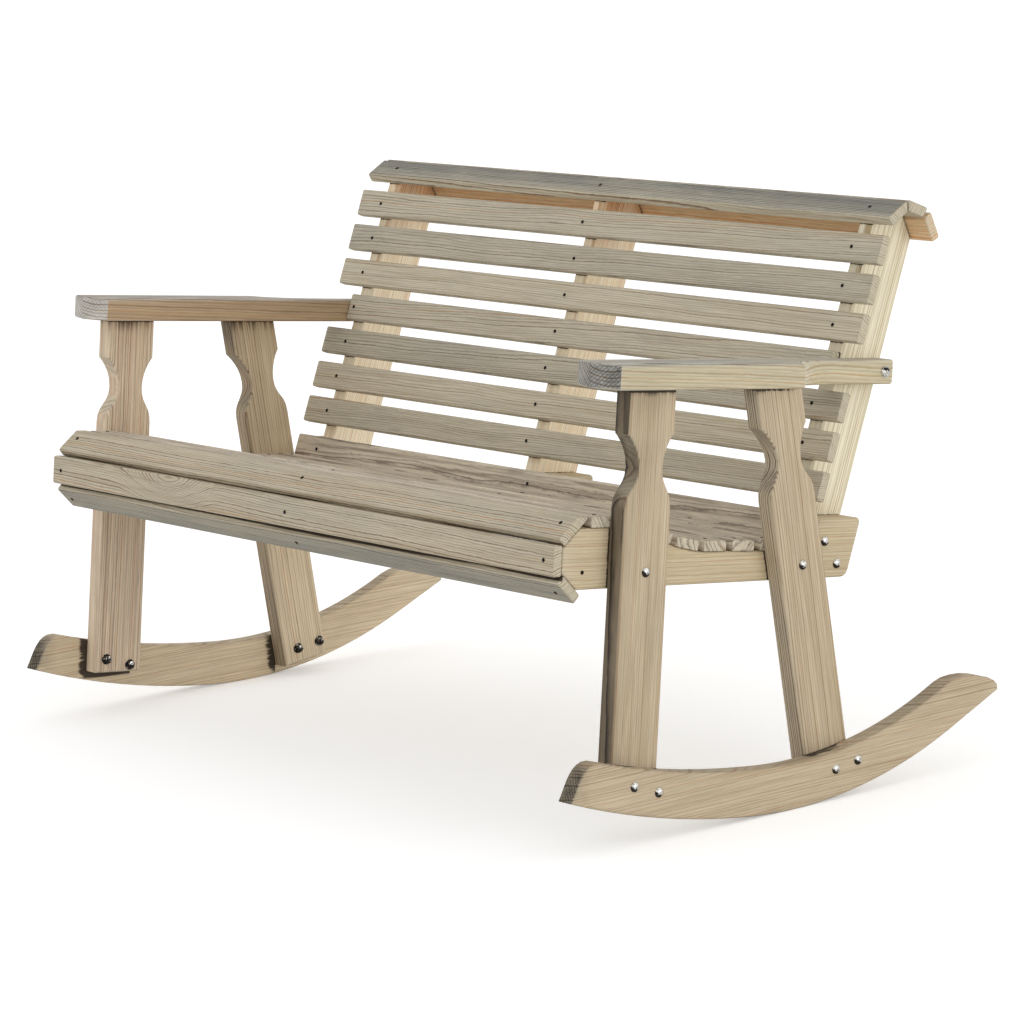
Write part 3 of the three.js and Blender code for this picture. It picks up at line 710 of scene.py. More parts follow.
# GREY and the slat finishes made from it: the dark arris colour is painted shade along the edges of the
# slats.
GREY = PineFinish(
    "pine_grey", "timber_grey",
    earlywood=shade(212, 202, 180), latewood=shade(110, 88, 62),
    streak=shade(194, 179, 152), stain=shade(186, 180, 164), resin=shade(172, 126, 84),
    arris=shade(120, 106, 84), weathered=shade(170, 168, 156), weathered_line=shade(100, 93, 82),
    ring_width=3.1 * MM, wander=3.2 * MM, ripple=0.7, contrast=0.70, knots=0.10,
)
SEAT = replace(
    GREY, name="pine_seat",
    earlywood=shade(236, 221, 200), latewood=shade(84, 66, 54), streak=shade(160, 138, 122),
    stain=shade(156, 143, 134), resin=shade(146, 118, 94), ring_width=8.5 * MM, wander=7.0 * MM, ripple=0.9,
    contrast=0.84,
)
SWIRL = replace(
    GREY, name="pine_swirl",
    earlywood=shade(206, 193, 169), latewood=shade(104, 76, 48), streak=shade(188, 170, 142),
    wander=2.6 * MM, ripple=0.9, contrast=0.85, knots=0.0, swirl=(-0.30, 0.060, 0.058),
)
# ROLL: its weathered colours are painted shade on the top face of the front roll slat.
ROLL = replace(
    GREY, name="pine_roll",
    earlywood=shade(224, 216, 192), weathered=shade(143, 142, 133), weathered_line=shade(78, 76, 70),
    contrast=0.95,
)
# ARM and BROWN: the near-white end is pale sawn end grain brightened into a painted highlight on the scoop;
# the weathered end colour is painted shade on the front end, and the weathered colour painted shade on the
# top.
ARM = PineFinish(
    "pine_arm", "timber_grey",
    earlywood=shade(206, 195, 165), latewood=shade(158, 128, 84),
    streak=shade(197, 185, 153), stain=shade(192, 180, 150), resin=shade(184, 146, 94),
    end=shade(248, 245, 238), weathered=shade(188, 185, 176), weathered_line=shade(72, 70, 68),
    weathered_end=shade(98, 98, 99),
    ring_width=4.6 * MM, wander=2.0 * MM, ripple=0.5, contrast=0.66, knots=0.0,
)
BROWN = replace(
    ARM, name="pine_arm_brown",
    earlywood=shade(190, 165, 134), latewood=shade(130, 98, 66), streak=shade(180, 152, 120),
    stain=shade(174, 148, 118),
)


@dataclass
class Board:
    """A piece of timber: its node, its lay, where the heart of the tree was, and how it is weathered and
    shaded.

    Weather is how weathered and grey the whole board is. Front, top and down add painted shade to it on the
    faces that look that way, and a front below none paints the front lighter by hiding the figure. Head adds
    painted shade at the top of a leg or an upright, under the arm or the roll, as far down as its reach, on
    the front edge and by a share on the sides. Fresh ends take weathering and painted shade off the sawn
    ends. Seam is how far the painted shadow of a joint reaches into the wood beside it, and a second reach
    how far the darkening runs out in front of a leg. Against holds a word from the name of each kind of board
    that leaves a painted shadow seam.
    """

    node: str
    lay: Lay
    finish: PineFinish
    heart: Pair
    tilt: Pair
    start: float
    weather: float = 0.0
    painted_front_shade: float = 0.0
    painted_top_shade: float = 0.0
    painted_down_shade: float = 0.0
    painted_head_shade: float = 0.0
    head_sides: float = 0.0
    head_reach: float = 0.05
    fresh_ends: float = 0.0
    seam: float = 2.6 * MM
    dark_reach: float = 0.0
    against: tuple[str, ...] = ()


@dataclass
class Measured:
    """The middle of a board and its three directions, with half its size along each."""

    middle: np.ndarray
    axes: np.ndarray
    half: np.ndarray

    def spot(self, along: float, across: float, through: float) -> Vector:
        """Return the place in the bench at those distances from the middle of the board."""
        return Vector(self.middle + along * self.axes[0] + across * self.axes[1] + through * self.axes[2])


def measure(node: str, lay: Lay) -> Measured:
    """Find how a board lies, from the narrowest strip that holds its side view.

    Args:
        node: The name of the board's node.
        lay: How the board lies.

    Returns:
        The board's middle, directions and half sizes.
    """
    points = np.array([v.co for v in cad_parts[node].data.vertices], float)
    angles = np.radians(np.arange(0.0, 180.0, TURN_STEP))
    normals = np.stack([-np.sin(angles), np.cos(angles)])
    reach = points[:, 1:] @ normals
    best = angles[np.argmin(reach.max(0) - reach.min(0))]
    long = np.array([0.0, cos(best), sin(best)])
    short = np.array([0.0, -sin(best), cos(best)])
    side = np.array([1.0, 0.0, 0.0])
    order = {
        Lay.ACROSS_BENCH: (side, long, short),
        Lay.ON_EDGE: (long, short, side),
        Lay.FLAT: (long, side, short),
    }
    axes = np.stack(order[lay])
    spread = points @ axes.T
    low, high = spread.min(0), spread.max(0)
    return Measured((low + high) / 2 @ axes, axes, (high - low) / 2)


def plane_key(normal: Vector, place: float) -> tuple[float, ...]:
    """Name a plane by its way out and its place along it, so that equal planes have equal names."""
    return (*(round(part, 2) for part in normal), round(place, 4))


def flat_faces(node: str, least: float) -> list[tuple[Vector, Vector]]:
    """List the wide flat faces of a node.

    Args:
        node: The name of the node.
        least: The smallest area that counts, in square metres.

    Returns:
        A point on each face and the way out of it.
    """
    found: dict[tuple, list] = {}
    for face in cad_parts[node].data.polygons:
        normal = face.normal.copy()
        key = plane_key(normal, face.center.dot(normal))
        found.setdefault(key, [0.0, face.center.copy(), normal])[0] += face.area
    return [(point, normal) for area, point, normal in found.values() if area > least]


@dataclass
class Joiner:
    """Dresses timber: merges a copy of each node, breaks its sharp arrises and lays the grain in it."""

    materials: dict[str, Material]
    arris: float = 0.9 * MM
    merge: float = 0.02 * MM
    level: float = radians(0.3)
    sharp: float = radians(50)
    eased: float = 3.4 * MM
    eased_share: float = 0.25
    flat: float = 0.0008
    seam_dark: float = 0.85
    least_cut: float = 0.1 * MM
    least_square: float = 0.5
    front_spread: float = 1.4
    top_spread: float = 2.0
    down_from: float = -0.25
    made: list[Object] = field(default_factory=list)
    trees: dict[str, BVHTree] = field(default_factory=dict)

    def __post_init__(self) -> None:
        """Keep the shape of every board, to find the joints between them."""
        for name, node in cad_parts.items():
            if not name.startswith("bolt_"):
                points = [v.co.copy() for v in node.data.vertices]
                faces = [tuple(p.vertices) for p in node.data.polygons]
                self.trees[name] = BVHTree.FromPolygons(points, faces)

    def neighbours(self, board: Board) -> list[str]:
        """List the boards that lie against a board and leave a seam of painted shadow on it.

        Args:
            board: The board.

        Returns:
            The names of their nodes.
        """
        low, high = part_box(board.node)
        found = []
        for name in self.trees:
            if name != board.node and any(word in name for word in board.against):
                least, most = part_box(name)
                if all(low[i] - board.seam < most[i] and least[i] - board.seam < high[i] for i in range(3)):
                    found.append(name)
        return found

    def cut_seams(self, bm: BMesh, board: Board) -> None:
        """Cut lines into the faces of a board beside its edges and joints, which keep each painted shadow
        seam narrow.

        Args:
            bm: The board's mesh.
            board: The board.
        """
        sizes = measure(board.node, board.lay)
        inside = self.seam_dark * board.seam
        cuts = {}
        if "slat" in board.against:
            for i in (1, 2):
                for side in (-1.0, 1.0):
                    point = Vector(sizes.middle + side * (sizes.half[i] - inside) * sizes.axes[i])
                    cuts[i, side] = (point, Vector(sizes.axes[i]))
        for name in self.neighbours(board):
            for point, normal in flat_faces(name, self.flat):
                if not board.dark_reach and abs(normal.dot(Vector(sizes.axes[0]))) < self.least_square:
                    continue
                for out in {0.0, inside, board.dark_reach if normal.y < 0 else 0.0}:
                    place = point.dot(normal) + out
                    cuts[plane_key(normal, place)] = (normal * place, normal)
        corners = [vert.co for vert in bm.verts]
        for point, normal in cuts.values():
            spread = [(corner - point).dot(normal) for corner in corners]
            if min(spread) < -self.least_cut and max(spread) > self.least_cut:
                geometry = bm.verts[:] + bm.edges[:] + bm.faces[:]
                bmesh.ops.bisect_plane(
                    bm, geom=geometry, dist=self.least_cut / 2, plane_co=point, plane_no=normal,
                )

    def dress(self, board: Board) -> Object:
        """Make the finished piece that stands for a board's node.

        Args:
            board: The board.

        Returns:
            The new piece, already riding on the bench.
        """
        bm = bmesh.new()
        bm.from_mesh(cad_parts[board.node].data)
        bmesh.ops.remove_doubles(bm, verts=bm.verts, dist=self.merge)
        bmesh.ops.dissolve_limit(bm, angle_limit=self.level, verts=bm.verts, edges=bm.edges)
        # The arris layer marks worn edges, which take a painted highlight on light timber and painted shade
        # on the slats.
        worn_and_shaded = bm.faces.layers.float.new("arris")
        for face in bm.faces:
            longest = max(edge.calc_length() for edge in face.edges)
            face[worn_and_shaded] = self.eased_share if face.calc_area() / longest < self.eased else 0.0
        edges = [e for e in bm.edges if len(e.link_faces) == 2 and e.calc_face_angle() > self.sharp]
        for face in break_edges(bm, edges, self.arris):
            face[worn_and_shaded] = 1.0
        self.cut_seams(bm, board)
        smooth_between(bm, self.sharp)
        piece = new_piece(board.node + "_timber", bm, self.materials[board.finish.name])
        self.lay_grain(piece.data, board)
        piece.modifiers.new("flat_faces", "WEIGHTED_NORMAL").keep_sharp = True
        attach(piece, "root")
        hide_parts(board.node)
        self.made.append(piece)
        return piece

    def lay_grain(self, mesh: Mesh, board: Board) -> None:
        """Write into a mesh where each point lies in its tree, and how worn, weathered and shaded each corner
        is.

        Args:
            mesh: The mesh that is dressed.
            board: The board that it shows.
        """
        sizes = measure(board.node, board.lay)
        points = np.empty(len(mesh.vertices) * 3)
        mesh.vertices.foreach_get("co", points)
        points = points.reshape(-1, 3)
        place = (points - sizes.middle) @ sizes.axes.T
        along = place[:, 0].copy()
        for i in (0, 1):
            place[:, i + 1] += board.tilt[i] * along - board.heart[i]
        place[:, 0] += board.start
        mesh.attributes.new("board", "FLOAT_VECTOR", "POINT").data.foreach_set("vector", place.ravel())
        corners = np.empty(len(mesh.loops), int)
        mesh.loops.foreach_get("vertex_index", corners)
        normals = np.array([n.vector for n in mesh.corner_normals])
        square = np.abs(normals @ sizes.axes[0])
        # Painted shade on the faces that look to the front, up and down, and at the heads of legs and
        # uprights.
        front = np.clip(-normals[:, 1], 0.0, 1.0) ** self.front_spread
        top = np.clip(normals[:, 2], 0.0, 1.0) ** self.top_spread
        weather = board.weather + board.painted_front_shade * front + board.painted_top_shade * top
        weather += board.painted_down_shade * (normals[:, 2] < self.down_from)
        weather *= 1.0 - board.fresh_ends * square ** 2
        heights = points[:, 2][corners]
        facing = (1.0 - board.head_sides) * front + board.head_sides * np.abs(normals[:, 0])
        head = np.clip(1.0 - (heights.max() - heights) / board.head_reach, 0.0, 1.0)
        weather += board.painted_head_shade * facing * head
        wear = np.stack([square, weather, self.joint_shadows(mesh, board)[corners]], axis=1)
        mesh.attributes.new("wear", "FLOAT_VECTOR", "CORNER").data.foreach_set("vector", wear.ravel())

    def joint_shadows(self, mesh: Mesh, board: Board) -> np.ndarray:
        """Tell how near each point of a board lies to the boards against it, which sets its painted shadow.

        Args:
            mesh: The mesh that is dressed.
            board: The board that it shows.

        Returns:
            One number for each vertex, from 0 in the open to 1 in a joint.
        """
        near = np.zeros(len(mesh.vertices))
        trees = [self.trees[name] for name in self.neighbours(board)]
        for i, vertex in enumerate(mesh.vertices):
            for tree in trees:
                place, _, _, gap = tree.find_nearest(vertex.co, max(board.seam, board.dark_reach))
                if gap is not None:
                    reach = max(board.seam, board.dark_reach if place.y > vertex.co.y else 0.0)
                    near[i] = max(near[i], (reach - gap) / (reach - board.seam / 2))
        return np.clip(near, 0.0, 1.0)


@dataclass(frozen=True)
class SideLooks:
    """How the timber of one side looks: its finishes, and the painted shade and light on its leg edges, leg
    heads and arm end.
    """

    finishes: tuple[PineFinish, ...]
    front_leg_edge: float
    rear_leg_edge: float
    front_leg_head: float
    rear_leg_head: float
    arm_end: float


SIDES = {
    "right": SideLooks((TAN, TAN, EDGED, ARM), 1.3, 0.80, 0.3, 0.2, 0.85),
    "left": SideLooks((LIGHT, LINED, EDGED_LIGHT, BROWN), -0.75, 0.85, 0.0, 0.4, 0.3),
}


@dataclass
class Frame:
    """Rockers, legs and arms of both sides."""

    chance: random.Random
    rocker_heart: Pair = (-0.21, 0.03)
    front_leg_heart: Pair = (0.17, 0.03)
    rear_leg_heart: Pair = (0.07, 0.045)
    arm_heart: Pair = (0.03, -0.055)
    edge_tilt: Pair = (0.004, 0.012)
    arm_tilt: Pair = (0.01, 0.03)
    leg_seam: float = 6.0 * MM
    rocker_nose: float = 1.2
    rocker_top: float = 0.35
    rocker_dark_reach: float = 18.0 * MM
    arm_top: float = 0.85

    def boards(self) -> list[Board]:
        """List the timber of the sides, each with its own figure."""
        kinds = (
            ("rocker", Lay.ON_EDGE, self.rocker_heart, self.edge_tilt),
            ("front_leg", Lay.ON_EDGE, self.front_leg_heart, self.edge_tilt),
            ("rear_leg", Lay.ON_EDGE, self.rear_leg_heart, self.edge_tilt),
            ("arm", Lay.FLAT, self.arm_heart, self.arm_tilt),
        )
        found = []
        for side, looks in SIDES.items():
            rocker, front, rear, arm = (
                Board(f"{kind}_{side}", lay, finish, heart, tilt, self.chance.uniform(0.0, TREE_HEIGHT))
                for (kind, lay, heart, tilt), finish in zip(kinds, looks.finishes)
            )
            # Painted shade on the rocker nose and top, the leg fronts and heads, and the arm end and top,
            # with a wide painted shadow seam at the leg tops under the arm.
            rocker.painted_front_shade, rocker.painted_top_shade = self.rocker_nose, self.rocker_top
            rocker.dark_reach, rocker.against = self.rocker_dark_reach, ("leg",)
            front.painted_front_shade, front.painted_head_shade = looks.front_leg_edge, looks.front_leg_head
            rear.painted_front_shade, rear.painted_head_shade = looks.rear_leg_edge, looks.rear_leg_head
            for leg in (front, rear):
                leg.seam, leg.against = self.leg_seam, ("arm",)
            arm.painted_front_shade, arm.painted_top_shade = looks.arm_end, self.arm_top
            found += [rocker, front, rear, arm]
        return found


@dataclass
class Carcass:
    """Seat rails and back uprights."""

    chance: random.Random
    rail_heart: Pair = (-0.17, 0.02)
    upright_heart: Pair = (0.19, 0.015)
    tilt: Pair = (0.003, 0.01)
    upright_head: float = 1.1
    upright_head_reach: float = 0.10
    rail_seam: float = 2.8 * MM

    def boards(self) -> list[Board]:
        """List the rails and uprights, two of the uprights in warmer timber."""
        found = []
        for side in ("right", "centre", "left"):
            starts = [self.chance.uniform(0.0, TREE_HEIGHT) for _ in range(2)]
            rail = Board(f"seat_rail_{side}", Lay.ON_EDGE, RAIL, self.rail_heart, self.tilt, starts[0])
            rail.seam, rail.against = self.rail_seam, ("leg", "upright")
            name, finish = f"back_upright_{side}", PALE if side == "right" else WARM
            upright = Board(name, Lay.ON_EDGE, finish, self.upright_heart, self.tilt, starts[1])
            upright.against = ("slat", "rail")
            # Painted shade at the heads of the centre and left uprights, under the roll.
            if side != "right":
                upright.painted_head_shade, upright.head_reach = self.upright_head, self.upright_head_reach
                upright.head_sides = 1.0
            found += [rail, upright]
        return found


@dataclass
class Slats:
    """Every slat, with how weathered it is and the painted shade on it: the seat, the front, the back and the
    roll over the top.
    """

    chance: random.Random
    nearest_heart: float = 0.012
    farthest_heart: float = 0.045
    least_aside: float = 0.046
    most_aside: float = 0.080
    most_tilt: float = 0.03
    most_weather: float = 0.5
    seat_share: float = 0.3
    fresh_ends: float = 0.9
    lower_seam: float = 6.5 * MM
    lower_down: float = 0.85
    swirl_heart: Pair = (-0.055, -0.02)
    swirl_tilt: Pair = (0.012, 0.0)

    def boards(self) -> list[Board]:
        """List the slats, each sawn from its own place in a tree."""
        finishes = {"roll_slat_rear": ORANGE, "roll_slat_front": ROLL}
        finishes |= dict.fromkeys(("front_slat_middle", "front_slat_upper"), SWIRL)
        finishes |= dict.fromkeys((*SEAT_SLATS, FOOT_SLAT), SEAT)
        weather = {
            "roll_slat_rear": 0.0, "roll_slat_front": 0.1, "front_slat_lower": 0.1,
            "front_slat_middle": 0.1, "front_slat_upper": 0.15,
        }
        # Painted shade on the top faces of the roll slats.
        painted_top_shade = {"roll_slat_rear": 0.9, "roll_slat_front": 1.3, "roll_slat_top": 0.6}
        found = []
        for name in (*FRONT_SLATS, *SEAT_SLATS, FOOT_SLAT, *BACK_SLATS, *ROLL_SLATS):
            across = self.chance.choice((-1, 1)) * self.chance.uniform(self.least_aside, self.most_aside)
            through = -self.chance.uniform(self.nearest_heart, self.farthest_heart)
            tilt = tuple(self.chance.uniform(-self.most_tilt, self.most_tilt) for _ in range(2))
            start = self.chance.uniform(0.0, TREE_HEIGHT)
            board = Board(name, Lay.ACROSS_BENCH, finishes.get(name, GREY), (across, through), tilt, start)
            board.weather = weather.get(name, self.chance.uniform(0.0, self.most_weather))
            if board.finish is SEAT:
                board.weather *= self.seat_share
            board.painted_top_shade = painted_top_shade.get(name, 0.0)
            board.fresh_ends, board.against = self.fresh_ends, ("slat",)
            # The lower front slat gets painted shade on its down-facing faces and a wide painted shadow seam
            # under the middle slat.
            if name == "front_slat_lower":
                board.painted_down_shade, board.seam = self.lower_down, self.lower_seam
            if name == "front_slat_middle":
                board.start, board.heart, board.tilt = 0.0, self.swirl_heart, self.swirl_tilt
            found.append(board)
        return found


@dataclass
class CarriageBolts:
    """Domed carriage bolts with washer, hex nut and threaded tail, one for each bolt node of the frame."""

    material: Material
    slot: str
    head_radius: float = 7.2 * MM
    head_height: float = 4.0 * MM
    washer_radius: float = 8.5 * MM
    washer_taper: float = 0.98
    washer_thickness: float = 1.6 * MM
    nut_radius: float = 6.4 * MM
    nut_height: float = 5.6 * MM
    nut_edge: float = 0.5 * MM
    shank_radius: float = 3.2 * MM
    tail: float = 4.0 * MM
    thread_pitch: float = 1.25 * MM
    thread_depth: float = 0.5 * MM
    merge: float = 0.005 * MM
    sharp: float = radians(38)
    # Tarnish on the head and the nut; below and in front, a painted dark reflection.
    tarnish_head: float = 0.34
    painted_reflection_below: float = 1.05
    tarnish_nut: float = 0.70
    below_from: float = -0.2
    front_share: float = 0.45
    head_steps: int = 8
    turns: int = 40

    def outline(self, length: float, washer_at_head: bool) -> list[Pair]:
        """Draw half the bolt's section.

        Args:
            length: The whole length from the crown of the head to the end of the tail.
            washer_at_head: True where a washer lies under the head too.

        Returns:
            Points as distance from the crown and distance from the axis.
        """
        points = [(0.0, 0.0)]
        for i in range(1, self.head_steps + 1):
            angle = pi / 2 * i / self.head_steps
            points.append((self.head_height * (1 - cos(angle)), self.head_radius * sin(angle)))
        depth, rim = self.head_height, self.washer_radius * self.washer_taper
        if washer_at_head:
            points += [(depth, rim), (depth + self.washer_thickness, self.washer_radius)]
            depth += self.washer_thickness
        nut_end = length - self.tail
        washer_end = nut_end - self.nut_height
        washer = washer_end - self.washer_thickness
        points += [(depth, self.shank_radius), (washer, self.shank_radius), (washer, self.washer_radius)]
        points += [(washer_end, rim), (washer_end, self.shank_radius), (nut_end, self.shank_radius)]
        place = nut_end
        while place + self.thread_pitch < length - self.thread_depth:
            points.append((place + self.thread_pitch / 2, self.shank_radius - self.thread_depth))
            points.append((place + self.thread_pitch, self.shank_radius))
            place += self.thread_pitch
        points += [(length, self.shank_radius - 2 * self.thread_depth), (length, 0.0)]
        return points

    def turn(self, length: float, washer_at_head: bool) -> BMesh:
        """Turn a bolt and put its nut on, with the crown of the head at the start.

        Args:
            length: The whole length from the crown of the head to the end of the tail.
            washer_at_head: True where a washer lies under the head too.

        Returns:
            The shape.
        """
        bm = bmesh.new()
        verts = [bm.verts.new((x, radius, 0.0)) for x, radius in self.outline(length, washer_at_head)]
        edges = [bm.edges.new(pair) for pair in zip(verts, verts[1:])]
        bmesh.ops.spin(
            bm, geom=verts + edges, axis=(1, 0, 0), cent=(0, 0, 0), dvec=(0, 0, 0),
            angle=2 * pi, steps=self.turns, use_merge=True, use_duplicate=False,
        )
        nut_middle = length - self.tail - self.nut_height / 2
        nut = bmesh.ops.create_cone(
            bm, cap_ends=True, segments=6, radius1=self.nut_radius, radius2=self.nut_radius,
            depth=self.nut_height,
            matrix=Matrix.Translation((nut_middle, 0, 0)) @ Matrix.Rotation(pi / 2, 4, "Y"),
        )
        rim = dict.fromkeys(edge for vert in nut["verts"] for edge in vert.link_edges)
        break_edges(bm, list(rim), self.nut_edge)
        bmesh.ops.remove_doubles(bm, verts=bm.verts, dist=self.merge)
        return bm

    def build(self, node: str) -> Object:
        """Make the bolt that stands for a node.

        Args:
            node: The name of the bolt's node.

        Returns:
            The new piece.
        """
        low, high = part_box(node)
        way = 1.0 if low.x + high.x < 0 and not node.endswith("centre") else -1.0
        head = low.x if way > 0 else high.x
        length = high.x - low.x
        middle = (low + high) / 2
        bm = self.turn(length, "arm" in node)
        bm.transform(Matrix.Translation((head, middle.y, middle.z)) @ Matrix.Diagonal((way, 1.0, 1.0, 1.0)))
        bmesh.ops.recalc_face_normals(bm, faces=bm.faces)
        smooth_between(bm, self.sharp)
        piece = new_piece(node + "_plated", bm, self.material)
        self.tarnish_and_dark_reflection(piece.data, head, way * length / 2)
        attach(piece, "root")
        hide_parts(node)
        return piece

    def tarnish_and_dark_reflection(self, mesh: Mesh, head: float, half: float) -> None:
        """Write into a bolt's mesh how dark it is: tarnish, more on the nut, and a painted dark reflection
        below and in front.

        Args:
            mesh: The bolt's mesh.
            head: The place of the crown from side to side.
            half: How far the middle of the bolt lies from there, with its sign.
        """
        normals = np.array([n.vector for n in mesh.corner_normals])
        places = np.array([mesh.vertices[loop.vertex_index].co.x for loop in mesh.loops])
        inside = (places - head) / half > 1.0
        below = np.clip(-normals[:, 2] - self.front_share * normals[:, 1], self.below_from, 1.0)
        dull = np.where(inside, self.tarnish_nut, self.tarnish_head) + self.painted_reflection_below * below
        mesh.attributes.new("tarnish_and_dark_reflection", "FLOAT", "CORNER").data.foreach_set("value", dull)

    def build_all(self) -> list[Object]:
        """Make every bolt of the bench."""
        return [self.build(node) for node in sorted(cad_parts) if node.startswith("bolt_")]


@dataclass
class DeckScrews:
    """Black deck screws, set almost flush in the slats over each rail and upright, and in the outer rails."""

    material: Material
    slot: str
    head_radius: float = 2.9 * MM
    tip_share: float = 0.35
    stand: float = 0.6 * MM
    depth: float = 3.0 * MM
    recess_inset: float = 1.5 * MM
    recess_wall: float = 0.25 * MM
    recess_depth: float = 0.4 * MM
    sides: int = 12
    stray: float = 1.5 * MM
    rail_middle: float = 0.5886
    upright_middle: float = 0.5526
    centre_upright: float = -0.044
    foot_middle: float = -0.0155
    rail_screw: Place = (0.6096, -0.32942, 0.37985)

    def head(self, bm: BMesh, spot: Vector, out: Vector, turn: float) -> None:
        """Add one screw head.

        Args:
            bm: The mesh that the head goes into.
            spot: The place on the face of the wood.
            out: The direction out of the wood.
            turn: How far the head is turned.
        """
        facing = out.to_track_quat("Z", "Y").to_matrix().to_4x4()
        place = Matrix.Translation(spot) @ facing @ Matrix.Rotation(turn, 4, "Z")
        made = bmesh.ops.create_cone(
            bm, cap_ends=True, segments=self.sides, radius1=self.head_radius * self.tip_share,
            radius2=self.head_radius, depth=self.depth,
            matrix=Matrix.Translation((0, 0, self.stand - self.depth / 2)),
        )
        faces = {face for vert in made["verts"] for face in vert.link_faces}
        top = max(faces, key=lambda face: face.calc_center_median().z)
        bmesh.ops.inset_region(bm, faces=[top], thickness=self.recess_inset, depth=0.0)
        bmesh.ops.inset_region(bm, faces=[top], thickness=self.recess_wall, depth=-self.recess_depth)
        verts = {vert for face in faces for vert in face.verts}
        linked = {vert for start in verts for edge in start.link_edges for vert in edge.verts}
        bmesh.ops.transform(bm, matrix=place, verts=list(linked))

    def spots(self, node: str, places: list[float], out: Vector) -> list[tuple[Vector, Vector]]:
        """Find where the screws of a slat go.

        Args:
            node: The slat's node.
            places: How far each screw is from the middle of the bench.
            out: Roughly the way out of the slat's face.

        Returns:
            A place on the face and the way out of it, for each screw.
        """
        sizes = measure(node, Lay.ACROSS_BENCH)
        side = 1.0 if Vector(sizes.axes[2]).dot(out) > 0 else -1.0
        normal = Vector(sizes.axes[2]) * side
        return [(sizes.spot(x - sizes.middle[0], 0.0, side * sizes.half[2]), normal) for x in places]

    def build(self, name: str, slats: dict[str, tuple[list[float], Vector]]) -> Object:
        """Make one set of screws.

        Args:
            name: The name of the piece.
            slats: For each slat, how far its screws are from the middle, and the way out of its face.

        Returns:
            The new piece.
        """
        bm = bmesh.new()
        chance = random.Random(name)
        if name == "screws_front":
            for side in (-1.0, 1.0):
                x, y, z = self.rail_screw
                self.head(bm, Vector((side * x, y, z)), Vector((side, 0, 0)), chance.uniform(0.0, pi))
        for node, (places, out) in slats.items():
            for spot, normal in self.spots(node, places, out):
                spot.x += chance.uniform(-self.stray, self.stray)
                self.head(bm, spot, normal, chance.uniform(0.0, pi))
        bmesh.ops.recalc_face_normals(bm, faces=bm.faces)
        piece = new_piece(name, bm, self.material)
        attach(piece, "root")
        return piece

    def build_all(self) -> list[Object]:
        """Make every set of screws."""
        rails = [-self.rail_middle, 0.0, self.rail_middle]
        uprights = [-self.upright_middle, self.centre_upright, self.upright_middle]
        foot = [-self.upright_middle, self.foot_middle, self.upright_middle]
        up, forward = Vector((0, 0, 1)), Vector((0, -1, 0.3))
        round_the_roll = (Vector((0, -1, 1)), up, Vector((0, 1, 0.5)))
        sets = {
            "screws_seat": {name: (rails, up) for name in SEAT_SLATS},
            "screws_front": {name: (rails, forward) for name in reversed(FRONT_SLATS)},
            "screws_back": {name: (uprights, forward) for name in BACK_SLATS} | {FOOT_SLAT: (foot, forward)},
            "screws_roll": {name: (uprights, out) for name, out in zip(ROLL_SLATS, round_the_roll)},
        }
        return [self.build(name, slats) for name, slats in sets.items()]


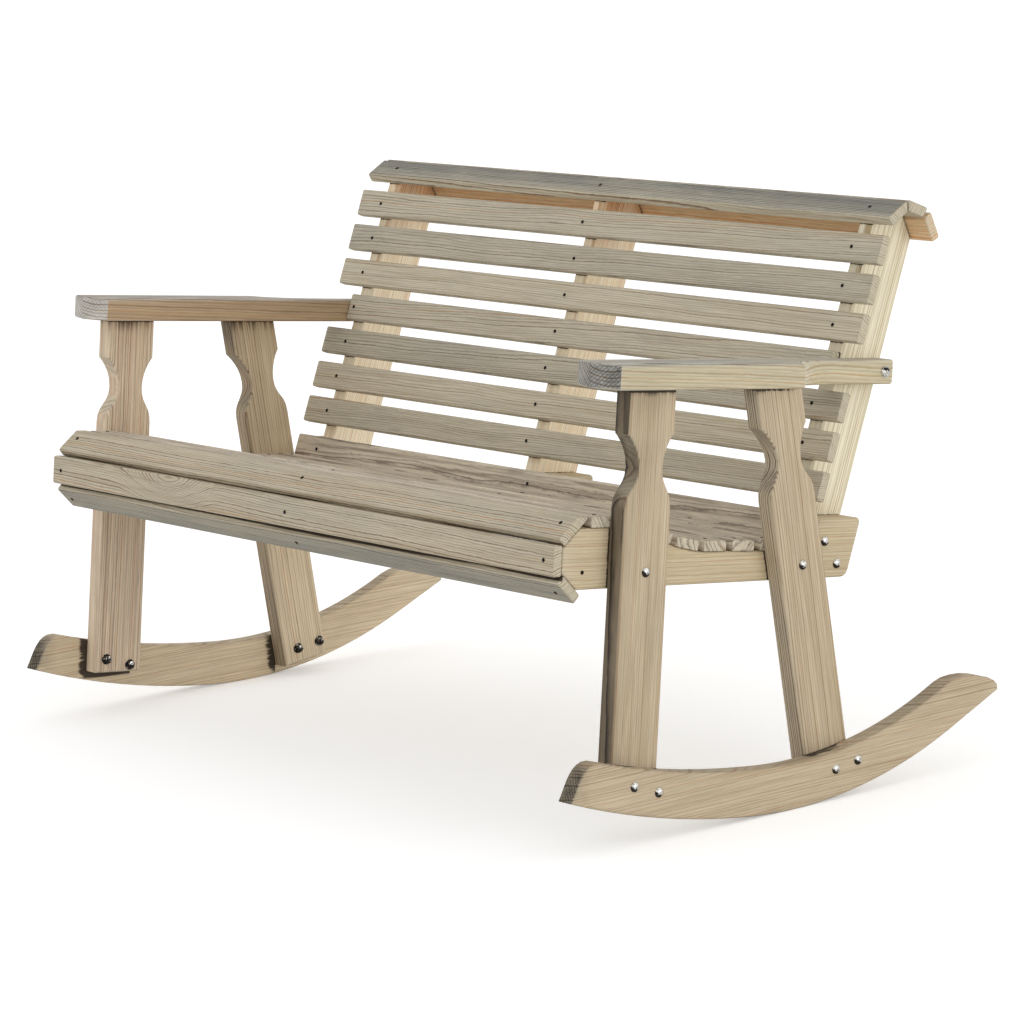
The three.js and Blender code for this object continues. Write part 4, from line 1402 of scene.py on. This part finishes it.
@dataclass
class Studio:
    """A plain pale floor, soft light, and the camera where the photograph was taken."""

    camera_place: Place = (5.03346, -4.05030, 1.45969)
    camera_aim: Place = (0.01819, 0.03302, 0.34845)
    camera_roll: float = radians(1.8926)
    camera_sees: float = 200.0
    lens: float = 152.05
    sensor: float = 36.0
    floor_size: float = 45.0
    floor_drop: float = 0.2 * MM
    floor_tones: tuple[Colour, Colour] = ((0.86, 0.86, 0.86), (0.90, 0.90, 0.90))
    floor_glow: float = 0.34
    fill: float = 0.87
    key: float = 0.74
    key_softness: float = radians(30)
    key_from: Place = (0.94, 0.28, 0.10)

    def camera(self) -> Object:
        """Place the camera."""
        data = bpy.data.cameras.new("camera")
        data.lens, data.sensor_width, data.clip_end = self.lens, self.sensor, self.camera_sees
        camera = bpy.data.objects.new("camera", data)
        place, aim = Vector(self.camera_place), Vector(self.camera_aim)
        look = (aim - place).to_track_quat("-Z", "Y") @ Quaternion((0, 0, 1), -self.camera_roll)
        camera.matrix_world = Matrix.Translation(place) @ look.to_matrix().to_4x4()
        bpy.context.scene.collection.objects.link(camera)
        bpy.context.scene.camera = camera
        return camera

    def floor(self) -> Object:
        """Lay the floor, which stays pale to the camera and keeps the bench's shadow."""
        bm = bmesh.new()
        bmesh.ops.create_grid(bm, x_segments=8, y_segments=8, size=self.floor_size)
        bm.transform(Matrix.Translation((0, 0, -self.floor_drop)))
        made, g, shader = new_material("floor")
        cloud = g.noise(g.add("TexCoord").outputs["Object"], SCREED)
        seen = g.add("LightPath").outputs["Is Camera Ray"]
        g.fill(shader, {
            "Base Color": g.mix(cloud, *self.floor_tones), "Roughness": 0.95, "Specular IOR Level": 0.1,
            "Emission Color": WHITE, "Emission Strength": g.times(seen, self.floor_glow),
        })
        floor = new_piece("floor", bm, made)
        return floor

    def lights(self) -> None:
        """Hang the soft key light and fill the room evenly, white to the camera and in reflections."""
        sun = bpy.data.lights.new("key", "SUN")
        sun.energy, sun.angle = self.key, self.key_softness
        key = bpy.data.objects.new("key", sun)
        key.rotation_euler = Vector(self.key_from).to_track_quat("Z", "Y").to_euler()
        bpy.context.scene.collection.objects.link(key)
        world = bpy.data.worlds.new("room")
        world.use_nodes = True
        g = Graph(world.node_tree)
        background = world.node_tree.nodes["Background"]
        ray = g.add("LightPath").outputs
        seen = g.sum("MAXIMUM", ray["Is Camera Ray"], ray["Is Glossy Ray"])
        seen = g.sum("MAXIMUM", seen, ray["Is Transmission Ray"])
        g.fill(background, {"Color": WHITE, "Strength": g.ramp(seen, 0.0, 1.0, self.fill, 1.0)})
        bpy.context.scene.world = world

    def build(self) -> None:
        """Set up the whole studio."""
        self.camera()
        self.floor()
        self.lights()
        bpy.context.scene.view_settings.view_transform = "Standard"


def main() -> None:
    """Build the studio and every piece of the bench."""
    logging.basicConfig(level=logging.INFO, format="%(message)s")
    Studio().build()
    chance = random.Random(SEED)
    groups = {tree.name: tree for tree in (pine_figure(), sawn_worn_and_shaded(), pine_colouring())}
    finishes = (
        TAN, LIGHT, LINED, EDGED, EDGED_LIGHT, RAIL, PALE, WARM, ORANGE, GREY, SEAT, SWIRL, ROLL, ARM, BROWN,
    )
    joiner = Joiner({finish.name: finish.material(groups) for finish in finishes})
    for assembly in (Frame(chance), Carcass(chance), Slats(chance)):
        for board in assembly.boards():
            joiner.dress(board)
    zinc, blacked = ZincFinish(), BlackedFinish()
    bolts = CarriageBolts(zinc.material(), zinc.slot).build_all()
    screws = DeckScrews(blacked.material(), blacked.slot).build_all()
    log.info("%d boards, %d bolts, %d sets of screws", len(joiner.made), len(bolts), len(screws))
    bpy.context.view_layer.update()


if __name__ == "__main__":
    main()
